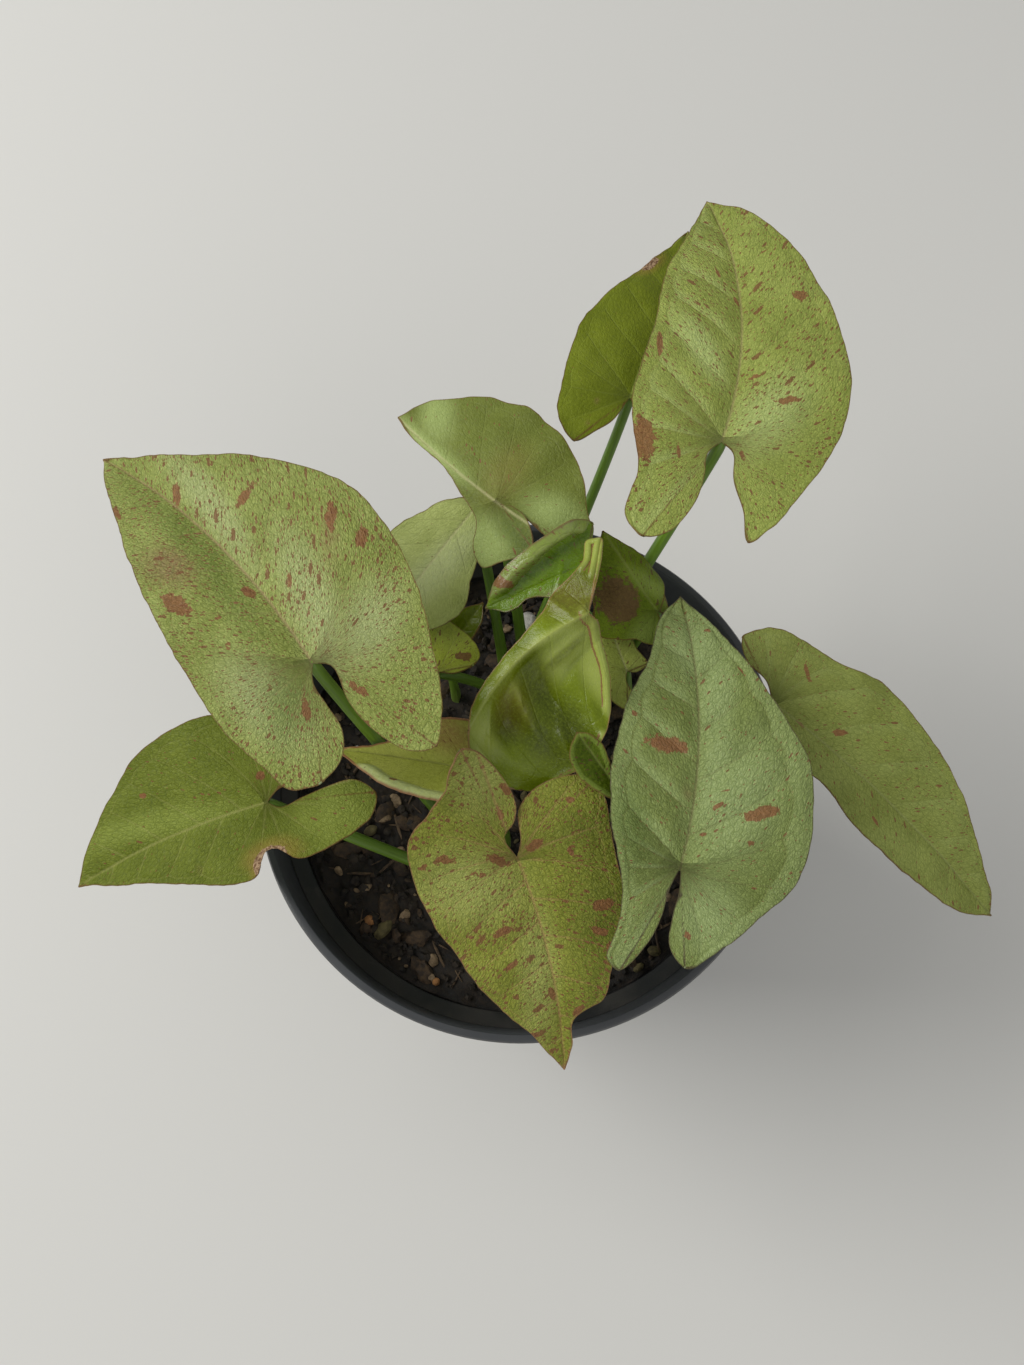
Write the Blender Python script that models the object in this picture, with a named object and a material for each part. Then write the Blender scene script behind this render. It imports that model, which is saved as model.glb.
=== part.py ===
"""An arrowhead plant in its nursery pot: leaves on their stalks, three crowns, potting mix and pot.

Lengths are millimetres and angles are degrees; MM turns a length into Blender's metres.
The origin is the centre of the pot's flat base, +Z is up, and the viewer stands on the -Y side.
"""

from dataclasses import dataclass

import bpy
import numpy as np
from mathutils import Vector, noise

MM = 0.001

# Pot: a 130 mm nursery pot with a collar above a shoulder, and a rolled lip.
POT_HEIGHT = 112.0
RIM_RADIUS = 65.0
BASE_RADIUS = 45.0
BASE_CHAMFER = 1.0
SHOULDER_RADIUS = 59.5
SHOULDER_HEIGHT = 93.0
COLLAR_STEP = 3.6
COLLAR_RISE = 2.2
LIP_HEIGHT = 2.4
LIP_OUT = 0.9
LIP_CHAMFER = 0.5
WALL = 1.5
FLOOR = 2.2
POT_SIDES = 48
DRAIN_HOLES = 8
DRAIN_RADIUS = 4.0
DRAIN_RING = 33.0
DRAIN_SIDES = 10

# Potting mix, with a plain hole for every stalk and crown.
GAP = 0.3
FACET_SLACK = 0.4
SOIL_TOP = 92.5
SOIL_BUMP = 1.6
SOIL_SWELL = 0.09
SOIL_RIPPLE = 0.22
RIPPLE_SHARE = 0.6
EDGE_SINK = 0.6
SOIL_SIDES = 36
SOIL_RINGS = 8
HOLE_BOTTOM = 83.0
HOLE_SLACK = 0.45
HOLE_SIDES = 12

# Crown: the short stem stub that a clump of stalks grows round.
CROWN_RADIUS = 3.4
CROWN_TOP = 104.0
CROWN_ROUNDING = 5.0
CROWN_SHOULDER = (0.75, 0.3)
CROWN_SIDES = 12

# Leaf: a thin blade on a round stalk that runs on under it as its midrib.
BLADE = 0.9
STALK_SIDES = 7
STALK_RINGS = 8
STALK_CLEAR = 2.5
STALK_TAPER = 0.15
STALK_RISE = 0.24
STALK_ARRIVAL = 0.35
RIB_RINGS = 3
RIB_REACH = 0.6
RIB_SIZE = 0.62
RIB_TAPER = 0.5
RIB_SINK = (0.75, 0.55)
HALF_WAVE_SHIFT = 0.3
LOBE_COLUMNS = 5
LOBE_EASE = 1.6
LOBE_TURN = 0.4
LOBE_SHARE = 0.1
MIDRIB_COLUMNS = 8
ROWS = 4
OUTLINE_STEPS = 12

# How finely the curved middle surface of a leaf is worked out, and how far past its length and width.
SPINE_STEPS = 56
SPINE_REACH = 1.3
CROSS_STEPS = 60
CROSS_REACH = 1.6

SHARP_ANGLE = 50

PALE_GREEN = (0.31, 0.36, 0.13)
SAGE_GREEN = (0.26, 0.32, 0.14)
OLIVE_GREEN = (0.17, 0.22, 0.06)
FRESH_GREEN = (0.16, 0.27, 0.04)
GREY_GREEN = (0.30, 0.37, 0.20)
STEM_GREEN = (0.16, 0.22, 0.06)
POT_BLACK = (0.018, 0.019, 0.021)
MIX_BROWN = (0.030, 0.022, 0.016)


@dataclass(frozen=True)
class Leaf:
    """One leaf with its stalk.

    The blade starts at base, where the stalk meets it, and its midrib runs along heading, dipping
    below level by dip at the base and dip + bend at the tip, and turning by sweep on the way.
    left and right are the two margins as flat points (along the midrib, to the left of it), from
    the base round the basal lobe, whose end is the point numbered in ends, to the tip.
    fold, curl and power bend each half across its width; lobe lifts what lies behind the base.
    foot is where the stalk stands in the mix, and lean is its way in at the base: (level, up).
    """

    name: str
    base: tuple
    heading: float
    dip: float
    bend: float
    sweep: float
    length: float
    left: tuple
    right: tuple
    ends: tuple
    foot: tuple
    fold: tuple = (8, 8)
    curl: tuple = (-16, -16)
    power: tuple = (1, 1)
    width: tuple = (22, 22)
    lobe: tuple = (8, 8)
    wave: tuple = (0.8, 3, 0.0)
    stalk: float = 1.6
    lean: tuple = (0.7, 0.7)
    colour: tuple = PALE_GREEN


LEAVES = (
    Leaf("leaf_left_speckled", (-42.5, 10, 172), 123, 2, 18, 24, 75,
         ((-4, 2), (-9, 2), (-15, 2), (-20, 5), (-22, 11), (-20, 17), (-14, 19), (-3, 22), (15, 22),
          (36, 19), (57, 11), (70, 4)),
         ((-3, -3), (-11, -2), (-18, -3), (-26, -7), (-28, -12), (-22, -17), (-14, -21), (0, -26),
          (16, -29), (27, -28), (39, -22), (53, -12), (67, -4)),
         (4, 4), (-11, -20), fold=(8, 12), curl=(-18, -22), width=(36, 36), lobe=(12, 12),
         wave=(1.0, 3, 0.1), lean=(0.35, 0.94)),
    Leaf("leaf_lower_left", (-56.5, -13, 140), -166, 10, 16, 13, 51.5,
         ((-3, 2), (-8, 1), (-14, 0), (-20, 0), (-24, 4), (-23, 8), (-17, 12), (-10, 14), (-4, 14),
          (-1, 11), (3, 11), (5, 15), (10, 16), (22, 12), (38, 6)),
         ((-3, -2), (-7, -3), (-9, -7), (-6, -14), (1, -20), (9, -23), (17, -23), (26, -20),
          (34, -15), (44, -7)),
         (4, 2), (-12, -27), curl=(-12, -14), width=(22, 28), lobe=(10, 10), wave=(0.7, 3, 0.3),
         colour=OLIVE_GREEN),
    Leaf("leaf_front_speckled", (-1, -26.5, 150), -67, 15, 22, -20, 50.5,
         ((-3, 2), (-9, 4), (-12, 9), (-12, 16), (-9, 22), (-4, 22), (6, 20), (16, 19), (23, 18),
          (27, 13), (34, 10), (38, 3), (45, 2)),
         ((-5, -1), (-7, 2), (-11, 4), (-19, 3), (-27, 0), (-30, -3), (-27, -6), (-21, -9), (-17, -14),
          (-13, -20), (-5, -22), (9, -21), (29, -14), (41, -6), (46, -3)),
         (4, 5), (-3, -32), fold=(6, 6), curl=(-14, -12), width=(28, 28), lobe=(14, -34),
         wave=(0.9, 3, 0.5)),
    Leaf("leaf_right_centre", (32.5, -29.5, 157), 73, 3, 10, 28, 63,
         ((-5, 1), (-11, 1), (-16, 2), (-24, 6), (-22, 9), (-16, 9), (-6, 11), (5, 16), (20, 18),
          (35, 16), (48, 10), (59, 5)),
         ((-5, -1), (-10, -1), (-16, -2), (-19, -6), (-15, -11), (-4, -19), (4, -24), (12, -25),
          (23, -24), (33, -19), (44, -12), (55, -5)),
         (3, 3), (31, -12), curl=(-18, -22), width=(24, 34), lobe=(38, 12), wave=(1.0, 4, 0.2),
         colour=SAGE_GREEN),
    Leaf("leaf_far_right", (57, 10, 140), -37, 7, 18, -9, 73,
         ((-4, 3), (-10, 4), (-14, 8), (-11, 13), (-3, 16), (6, 17), (18, 20), (33, 18), (46, 14),
          (60, 7), (69, 3)),
         ((-2, -5), (-3, -12), (1, -17), (9, -14), (16, -8), (30, -10), (43, -10), (58, -8), (67, -5)),
         (2, 2), (38, 0), fold=(10, 10), curl=(-24, -20), width=(26, 24), lobe=(12, 12),
         wave=(0.7, 4, 0.6), colour=OLIVE_GREEN),
    Leaf("leaf_tall_back", (42.5, 59, 172), 70, 2, 16, 38, 70.5,
         ((-4, 2), (-9, 1), (-15, 1), (-23, 4), (-26, 9), (-23, 14), (-12, 15), (2, 21), (24, 20),
          (46, 16), (64, 5)),
         ((-2, -3), (-8, -5), (-14, -9), (-20, -12), (-17, -15), (-5, -20), (10, -24), (18, -24),
          (34, -20), (47, -15), (63, -7)),
         (4, 3), (14, 25), fold=(10, 10), curl=(-18, -20), width=(28, 30), lobe=(10, 14),
         wave=(1.0, 4, 0.0), lean=(0.45, 0.9)),
    Leaf("leaf_behind", (25.5, 81, 150), 72, 4, 16, 0, 57,
         ((-7, 2), (-11, 5), (-15, 9), (-11, 14), (-4, 16), (13, 17), (25, 14), (39, 7)),
         ((-3, -3), (-4, -8), (3, -14), (18, -13), (37, -10)),
         (2, 1), (3, 36), lobe=(10, 10), wave=(0.6, 3, 0.4), stalk=1.45, lean=(0.5, 0.87),
         colour=OLIVE_GREEN),
    Leaf("leaf_back_folded", (-5.5, 51, 158), 139, 9, 8, -12, 35,
         ((-3, 3), (-8, 5), (-12, 8), (-8, 12), (-4, 14), (-1, 12), (2, 6), (9, 3), (17, 1), (27, 1)),
         ((-7, -1), (-14, -1), (-20, -3), (-21, -7), (-16, -12), (-7, -19), (5, -22), (15, -21),
          (24, -16), (32, -8)),
         (2, 2), (1, 29.5), fold=(-25, 8), curl=(-20, -10), width=(16, 24), lobe=(-10, 16), stalk=1.5,
         colour=SAGE_GREEN),
    Leaf("leaf_back_pale", (-10.5, 56, 144), -130, 9, 14, 0, 35.5,
         ((3, 4), (7, 7), (12, 9), (19, 12), (25, 12), (32, 7)),
         ((0, -3), (4, -7), (8, -9), (16, -12), (25, -11), (31, -8)),
         (0, 0), (-4, 28), fold=(-6, 4), curl=(-8, -12), width=(14, 18), lobe=(0, 0), stalk=1.4,
         colour=GREY_GREEN),
    Leaf("leaf_low_left", (-19.5, 19, 133), 127, 12, 14, 0, 27.5,
         ((-2, 1), (-6, 3), (-9, 5), (-10, 8), (-6, 11), (6, 10), (18, 7)),
         ((-3, -3), (-4, -7), (-3, -10), (2, -11), (10, -10), (19, -9)),
         (3, 1), (-3, 21), fold=(5, 5), curl=(-12, -12), width=(14, 16), stalk=1.4,
         colour=OLIVE_GREEN),
    Leaf("leaf_centre_crumpled", (14, 22.5, 166), -158, 7, 8, 42, 36,
         ((-1, 2), (0, 8), (1, 14), (5, 20), (13, 25), (24, 26.5), (33, 26), (42, 22), (48, 16),
          (45, 9), (40, 2)),
         ((-2, -3), (-5, -7), (-8, -12), (-9, -15), (-6, -16), (-4, -12), (-1, -10), (4, -8),
          (9, -5), (17, -3), (27, -2), (33, -1)),
         (0, 3), (9, 15.5), fold=(-45, -10), curl=(62, 0), width=(31, 16), lobe=(0, 0),
         wave=(0.4, 3, 0.0), colour=FRESH_GREEN),
    Leaf("leaf_rolled", (14.5, 37, 157), -158, 6, 6, 0, 24.5,
         ((-1, 3), (2.5, 5), (9.5, 4), (14.5, 2), (19.5, 3)),
         ((-2, -3), (-4, -8), (0, -12), (6.5, -11), (13.5, -8), (19.5, -5), (22.5, -2)),
         (0, 1), (10, 32), fold=(-10, 20), curl=(30, 95), power=(1, 1.6), width=(10, 14), lobe=(0, 0),
         wave=(0, 1, 0), stalk=1.4, lean=(0.05, 1), colour=FRESH_GREEN),
    Leaf("leaf_behind_centre", (31, 29.5, 146), 126, -14, -4, 0, 22,
         ((-3, 1), (-7, 3), (-5, 6), (-2, 8), (0, 11), (3, 14), (8, 12), (14, 9), (19, 4.5)),
         ((-2, -3), (2, -5), (5, -8), (9, -8), (14, -6), (19, -2)),
         (1, 1), (22, 21), fold=(-10, -30), curl=(-10, -20), width=(14, 8), lobe=(0, 0),
         wave=(0, 1, 0), stalk=1.4, colour=OLIVE_GREEN),
    Leaf("leaf_left_folded", (-7, -8, 148.5), 168, 3, 6, 4, 35,
         ((-1, 4), (2, 9), (9, 10), (18, 9), (27, 5)),
         ((0, -5), (2, -10), (7, -11), (13, -10), (19, -5), (26, -2)),
         (1, 1), (-4, -17), fold=(18, 22), curl=(20, 14), width=(11, 12), lobe=(0, 0),
         wave=(0, 1, 0), stalk=1.4, colour=OLIVE_GREEN),
    Leaf("leaf_small_front", (22, -14.5, 152), 129, -22, -4, 0, 18,
         ((2, 2), (6, 4), (11, 5), (16, 4)),
         ((2, -1), (6, -1), (9, -2), (13, -3), (16, -2)),
         (0, 0), (24, -9), fold=(6, 6), curl=(-8, -8), width=(9, 9), wave=(0, 1, 0), stalk=1.2,
         colour=OLIVE_GREEN),
    Leaf("leaf_small_blotched", (24.5, 18, 137), 112, -17, 0, 0, 18.5,
         ((-2, 1), (-6, 0.5), (-8, 3), (-5, 6), (0, 5), (9, 4), (15, 3)),
         ((-1, -2), (0, -5), (4, -4), (8, -4), (13, -5), (17, -4)),
         (2, 1), (27, 4), fold=(6, 6), curl=(-8, -8), width=(8, 8), wave=(0, 1, 0), stalk=1.2,
         colour=SAGE_GREEN),
    Leaf("leaf_small_low", (-18, 29, 116), 52, -24, 6, 0, 15,
         ((1, 3), (5, 4), (11, 3)),
         ((1, -2), (5, -3), (11, -3)),
         (0, 0), (-17, 23), fold=(10, 10), curl=(0, 0), width=(6, 6), wave=(0, 1, 0), stalk=1.2,
         colour=FRESH_GREEN),
)

CROWNS = {"crown_front": (-4, -25), "crown_back": (6, 23), "crown_right": (31, -4)}


def remove_everything():
    """Clears the scene that Blender starts with."""
    for thing in list(bpy.data.objects):
        bpy.data.objects.remove(thing, do_unlink=True)


def material(name, colour, roughness):
    """A plain, non-metallic Principled material."""
    made = bpy.data.materials.new(name)
    made.use_nodes = True
    shader = made.node_tree.nodes["Principled BSDF"]
    shader.inputs["Base Color"].default_value = (*colour, 1)
    shader.inputs["Roughness"].default_value = roughness
    shader.inputs["Metallic"].default_value = 0
    return made


def mesh_object(name, points, faces, finish=None):
    """A mesh object from points in millimetres."""
    mesh = bpy.data.meshes.new(name)
    mesh.from_pydata([tuple(MM * p) for p in points], [], [tuple(map(int, f)) for f in faces])
    mesh.update()
    made = bpy.data.objects.new(name, mesh)
    bpy.context.scene.collection.objects.link(made)
    if finish:
        mesh.materials.append(finish)
    return made


def boolean(target, tool, operation):
    """Applies a Boolean of one object with another and removes the second.

    EXACT loses the target where a stalk grazes a curled blade; MANIFOLD joins those two.
    """
    step = target.modifiers.new(operation.title(), "BOOLEAN")
    step.operation = operation
    step.object = tool
    for solver in ("EXACT", "MANIFOLD"):
        step.solver = solver
        bpy.context.view_layer.update()
        graph = bpy.context.evaluated_depsgraph_get()
        result = bpy.data.meshes.new_from_object(target.evaluated_get(graph))
        if len(result.polygons) > len(target.data.polygons) / 2:
            break
    target.modifiers.clear()
    old = target.data
    target.data = result
    bpy.data.meshes.remove(old)
    result.name = target.name
    bpy.data.objects.remove(tool, do_unlink=True)


def smooth(made):
    """Smooth shading, with edges sharper than SHARP_ANGLE kept crisp."""
    made.data.shade_smooth()
    made.data.set_sharp_from_angle(angle=np.radians(SHARP_ANGLE))


def circle(radius, height, sides):
    """Points round a level circle."""
    angles = np.linspace(0, 2 * np.pi, sides, endpoint=False)
    return np.stack([radius * np.cos(angles), radius * np.sin(angles), height + 0 * angles], -1)


def ring_faces(rings, sides):
    """Faces of a closed solid: a bottom point, then rings from the bottom up, then a top point."""
    last = 1 + rings * sides
    top = last - sides
    faces = []
    for i in range(sides):
        j = (i + 1) % sides
        faces.append((0, 1 + j, 1 + i))
        for ring in range(rings - 1):
            low, high = 1 + ring * sides, 1 + (ring + 1) * sides
            faces.append((low + i, low + j, high + j))
            faces.append((low + i, high + j, high + i))
        faces.append((last, top + i, top + j))
    return faces


def turned(name, profile, sides, finish):
    """A solid of revolution from (radius, height) points that start and end on the axis."""
    points = [np.array([(0, 0, profile[0][1])])]
    points += [circle(radius, height, sides) for radius, height in profile[1:-1]]
    points.append(np.array([(0, 0, profile[-1][1])]))
    made = mesh_object(name, np.vstack(points), ring_faces(len(profile) - 2, sides), finish)
    smooth(made)
    return made


def cut_hole(target, centre, radius, low, high, sides):
    """Cuts a plain upright hole."""
    x, y = centre
    bpy.ops.mesh.primitive_cylinder_add(
        vertices=sides, radius=radius * MM, depth=(high - low) * MM,
        location=(x * MM, y * MM, (low + high) / 2 * MM))
    boolean(target, bpy.context.active_object, "DIFFERENCE")


def outer_radius(height):
    """The pot body's outer radius below the shoulder."""
    return BASE_RADIUS + (SHOULDER_RADIUS - BASE_RADIUS) * height / SHOULDER_HEIGHT


def make_pot():
    """A tapered body, a shoulder, a collar and a lip, with drain holes through the floor."""
    collar = SHOULDER_RADIUS + COLLAR_STEP
    collar_foot = SHOULDER_HEIGHT + COLLAR_RISE
    lip_foot = POT_HEIGHT - LIP_HEIGHT
    neck = RIM_RADIUS - LIP_OUT
    profile = (
        (0, 0),
        (BASE_RADIUS - BASE_CHAMFER, 0),
        (BASE_RADIUS, BASE_CHAMFER),
        (SHOULDER_RADIUS, SHOULDER_HEIGHT),
        (collar, collar_foot),
        (neck, lip_foot),
        (RIM_RADIUS, lip_foot + LIP_CHAMFER),
        (RIM_RADIUS, POT_HEIGHT - LIP_CHAMFER),
        (RIM_RADIUS - LIP_CHAMFER, POT_HEIGHT),
        (neck - WALL + LIP_CHAMFER, POT_HEIGHT),
        (neck - WALL, POT_HEIGHT - LIP_CHAMFER),
        (collar - WALL, collar_foot + LIP_CHAMFER),
        (SHOULDER_RADIUS - WALL, SHOULDER_HEIGHT + LIP_CHAMFER),
        (outer_radius(FLOOR) - WALL, FLOOR),
        (0, FLOOR),
    )
    pot = turned("pot", profile, POT_SIDES, material("pot", POT_BLACK, 0.38))
    for k in range(DRAIN_HOLES):
        angle = 2 * np.pi * (k + 0.5) / DRAIN_HOLES
        centre = (DRAIN_RING * np.cos(angle), DRAIN_RING * np.sin(angle))
        cut_hole(pot, centre, DRAIN_RADIUS, -FLOOR, 2 * FLOOR, DRAIN_SIDES)


def soil_height(x, y):
    """The bumpy top of the potting mix, a little lower at the pot's wall."""
    edge = (np.hypot(x, y) / (SHOULDER_RADIUS - WALL)) ** 4
    swell = noise.noise(Vector((x, y, 0)) * SOIL_SWELL)
    ripple = noise.noise(Vector((x, y, 40)) * SOIL_RIPPLE)
    return SOIL_TOP + SOIL_BUMP * (swell + RIPPLE_SHARE * ripple - EDGE_SINK * edge)


def make_potting_mix():
    """The mix fills the pot to its shoulder, and every stalk and crown has a hole in it."""
    low = outer_radius(FLOOR) - WALL - GAP - FACET_SLACK
    wall = SHOULDER_RADIUS - WALL - GAP - FACET_SLACK
    points = [np.array([(0, 0, FLOOR + GAP)]), circle(low, FLOOR + GAP, SOIL_SIDES)]
    for ring in range(SOIL_RINGS, 0, -1):
        level = circle(wall * ring / SOIL_RINGS, 0, SOIL_SIDES)
        level[:, 2] = [soil_height(x, y) for x, y, _ in level]
        points.append(level)
    points.append(np.array([(0, 0, soil_height(0, 0))]))
    mix = mesh_object("potting_mix", np.vstack(points), ring_faces(SOIL_RINGS + 1, SOIL_SIDES),
                      material("potting_mix", MIX_BROWN, 0.95))
    high = 2 * SOIL_TOP - HOLE_BOTTOM
    for leaf in LEAVES:
        cut_hole(mix, leaf.foot, leaf.stalk + HOLE_SLACK, HOLE_BOTTOM, high, HOLE_SIDES)
    for place in CROWNS.values():
        cut_hole(mix, place, CROWN_RADIUS + HOLE_SLACK, HOLE_BOTTOM, high, HOLE_SIDES)


def make_crown(name, place):
    """A short stem stub with a rounded top, standing in the potting mix."""
    x, y = place
    foot = HOLE_BOTTOM + GAP
    profile = (
        (0, foot),
        (CROWN_RADIUS, foot),
        (CROWN_RADIUS, CROWN_TOP - CROWN_ROUNDING),
        (CROWN_RADIUS * CROWN_SHOULDER[0], CROWN_TOP - CROWN_ROUNDING * CROWN_SHOULDER[1]),
        (0, CROWN_TOP),
    )
    crown = turned(name, profile, CROWN_SIDES, material(name, STEM_GREEN, 0.6))
    crown.location = (x * MM, y * MM, 0)


def unit(vector):
    return vector / np.linalg.norm(vector, axis=-1, keepdims=True)


def direction(heading, dip):
    """Unit vectors that point along headings, dipping below level."""
    heading, dip = np.broadcast_arrays(np.radians(heading), np.radians(dip))
    return np.stack([np.cos(heading) * np.cos(dip), np.sin(heading) * np.cos(dip), -np.sin(dip)], -1)


def running(values, step):
    """The running integral of values, from zero, by the trapezium rule."""
    steps = (values[1:] + values[:-1]) / 2 * step
    return np.concatenate([np.zeros_like(values[:1]), np.cumsum(steps, 0)])


def interpolated(wanted, known, vectors):
    """Three-part vectors read off between known places."""
    return np.stack([np.interp(wanted, known, vectors[:, i]) for i in range(3)], -1)


class Surface:
    """The curved middle surface of one leaf, as a map from its flat outline to space."""

    def __init__(self, leaf):
        self.leaf = leaf
        base = np.array(leaf.base, float)
        self.along = np.linspace(0, SPINE_REACH, SPINE_STEPS)
        step = (self.along[1] - self.along[0]) * leaf.length
        self.ahead = direction(leaf.heading + leaf.sweep * self.along, leaf.dip + leaf.bend * self.along)
        self.spine = base + running(self.ahead, step)
        self.behind = [direction(leaf.heading, leaf.dip - turn * self.along / LOBE_TURN)
                       for turn in leaf.lobe]
        self.back = [base - running(way, step) for way in self.behind]
        self.across = np.linspace(0, CROSS_REACH, CROSS_STEPS)
        self.section = []
        for side in (0, 1):
            angle = np.radians(leaf.fold[side] + leaf.curl[side] * self.across ** leaf.power[side])
            step = (self.across[1] - self.across[0]) * leaf.width[side]
            self.section.append((running(np.cos(angle), step), running(np.sin(angle), step)))

    def along_spine(self, share, front, rear):
        """Vectors of the midrib's line, or of the line that a lobe follows behind the base."""
        ahead = interpolated(share, self.along, front)
        behind = interpolated(-share, self.along, rear)
        return np.where((share < 0)[:, None], behind, ahead)

    def at(self, flat, side):
        """Points in space of flat outline points of one half: side 0 is left, 1 is right."""
        leaf = self.leaf
        flat = np.asarray(flat, float)
        share, sideways = flat[:, 0] / leaf.length, flat[:, 1]
        sign = 1 - 2 * side
        middle = self.along_spine(share, self.spine, self.back[side])
        forward = unit(self.along_spine(share, self.ahead, self.behind[side]))
        left = unit(np.cross((0, 0, 1), forward))
        up = np.cross(forward, left)
        outward, crossed = np.clip(sideways * sign, 0, None), np.clip(sideways * sign, None, 0)
        reach = outward / leaf.width[side]
        out = np.interp(reach, self.across, self.section[side][0]) + crossed
        rise = np.interp(reach, self.across, self.section[side][1])
        size, count, start = leaf.wave
        phase = 2 * np.pi * (count * share + start + HALF_WAVE_SHIFT * side)
        rise = rise + size * np.clip(reach, 0, 1) ** 2 * np.sin(phase)
        return middle + left * (sign * out)[:, None] + up * rise[:, None]


def smooth_through(points):
    """A centripetal Catmull-Rom curve through flat points, OUTLINE_STEPS to a span."""
    points = np.array(points, float)
    whole = np.vstack([2 * points[0] - points[1], points, 2 * points[-1] - points[-2]])
    curve = []
    for a, b, c, d in zip(whole[:-3], whole[1:-2], whole[2:-1], whole[3:]):
        t = np.cumsum([0] + [np.linalg.norm(q - p) ** 0.5 for p, q in ((a, b), (b, c), (c, d))])
        for s in np.linspace(t[1], t[2], OUTLINE_STEPS, endpoint=False):
            ab = (a * (t[1] - s) + b * (s - t[0])) / (t[1] - t[0])
            bc = (b * (t[2] - s) + c * (s - t[1])) / (t[2] - t[1])
            cd = (c * (t[3] - s) + d * (s - t[2])) / (t[3] - t[2])
            abc = (ab * (t[2] - s) + bc * (s - t[0])) / (t[2] - t[0])
            bcd = (bc * (t[3] - s) + cd * (s - t[1])) / (t[3] - t[1])
            curve.append((abc * (t[2] - s) + bcd * (s - t[1])) / (t[2] - t[1]))
    return np.array(curve + [points[-1]])


def spaced(curve, count, ease=1.0):
    """count + 1 points along a flat curve, evenly spaced, or closer at its start with ease over 1."""
    run = np.concatenate([[0], np.cumsum(np.linalg.norm(np.diff(curve, axis=0), axis=1))])
    wanted = run[-1] * np.linspace(0, 1, count + 1) ** ease
    return np.stack([np.interp(wanted, run, curve[:, i]) for i in range(2)], -1)


def half_grid(outline, end, length):
    """Flat grid of one half: columns from the lobe's end to the leaf's tip, rows from inside out."""
    curve = smooth_through([(0, 0), *outline, (length, 0)])
    lobe_end = (end + 1) * OUTLINE_STEPS
    back, margin = curve[:lobe_end + 1][::-1], curve[lobe_end:]
    turn = max(2, int(np.argmax(margin[:, 0] > LOBE_SHARE * length)))
    midrib = np.linspace((0, 0), (length, 0), MIDRIB_COLUMNS + 1)
    inner = np.vstack([spaced(back, LOBE_COLUMNS, LOBE_EASE), midrib[1:]])
    outer = np.vstack([spaced(margin[:turn + 1], LOBE_COLUMNS, LOBE_EASE),
                       spaced(margin[turn:], MIDRIB_COLUMNS)[1:]])
    share = np.linspace(0, 1, ROWS + 1)[None, :, None]
    return inner[:, None] * (1 - share) + outer[:, None] * share


def blade_sheet(leaf, surface):
    """Points and triangles of the blade's middle surface, with both halves sharing the midrib."""
    index, points, faces = {}, [], []
    columns = LOBE_COLUMNS + MIDRIB_COLUMNS

    def numbered(side, column, row, place):
        key = (side, column, row)
        if column == 0:
            key = ("lobe", side)
        elif column == columns:
            key = ("tip",)
        elif row == 0 and column >= LOBE_COLUMNS:
            key = ("midrib", column)
        if key not in index:
            index[key] = len(points)
            points.append(place[column, row])
        return index[key]

    for side, outline in enumerate((leaf.left, leaf.right)):
        grid = half_grid(outline, leaf.ends[side], leaf.length)
        place = surface.at(grid.reshape(-1, 2), side).reshape(columns + 1, ROWS + 1, 3)
        for column in range(columns):
            for row in range(ROWS):
                corners = [numbered(side, column + i, row + j, place) for i, j in
                           ((0, 0), (1, 0), (1, 1), (0, 1))]
                ring = [c for i, c in enumerate(corners) if c != corners[i - 1]]
                if side == 1:
                    ring.reverse()
                faces += [(ring[0], ring[i], ring[i + 1]) for i in range(1, len(ring) - 1)]
    return np.array(points), np.array(faces)


def blade_mesh(leaf, surface):
    """The closed blade: two faces alike, BLADE apart, joined round the margin."""
    points, faces = blade_sheet(leaf, surface)
    first, second, third = (points[faces[:, i]] for i in range(3))
    facing = np.cross(second - first, third - first)
    normals = np.zeros_like(points)
    for corner in range(3):
        np.add.at(normals, faces[:, corner], facing)
    normals = unit(normals)
    count = len(points)
    both = np.vstack([points + normals * BLADE / 2, points - normals * BLADE / 2])
    edges = {(a, b) for face in faces for a, b in zip(face, np.roll(face, -1))}
    closed = [tuple(face) for face in faces] + [tuple(face[::-1] + count) for face in faces]
    for a, b in sorted(edges):
        if (b, a) not in edges:
            closed += [(b, a, a + count), (b, a + count, b + count)]
    return both, closed


def tube(line, radii):
    """A closed tube along points, with its own radius at each."""
    line = np.array(line, float)
    way = unit(np.gradient(line, axis=0))
    side = unit(np.cross(way[0], (0.3, 1.0, 0.1)))
    angles = np.linspace(0, 2 * np.pi, STALK_SIDES, endpoint=False)[:, None]
    rings = []
    for centre, forward, radius in zip(line, way, radii):
        side = unit(side - forward * (side @ forward))
        other = np.cross(forward, side)
        rings.append(centre + radius * (np.cos(angles) * side + np.sin(angles) * other))
    last = (len(line) - 1) * STALK_SIDES
    faces = [tuple(range(STALK_SIDES))[::-1], tuple(range(last, last + STALK_SIDES))]
    for low in range(0, last, STALK_SIDES):
        for k in range(STALK_SIDES):
            m = (k + 1) % STALK_SIDES
            faces.append((low + k, low + m, low + STALK_SIDES + m, low + STALK_SIDES + k))
    return np.vstack(rings), faces


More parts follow.
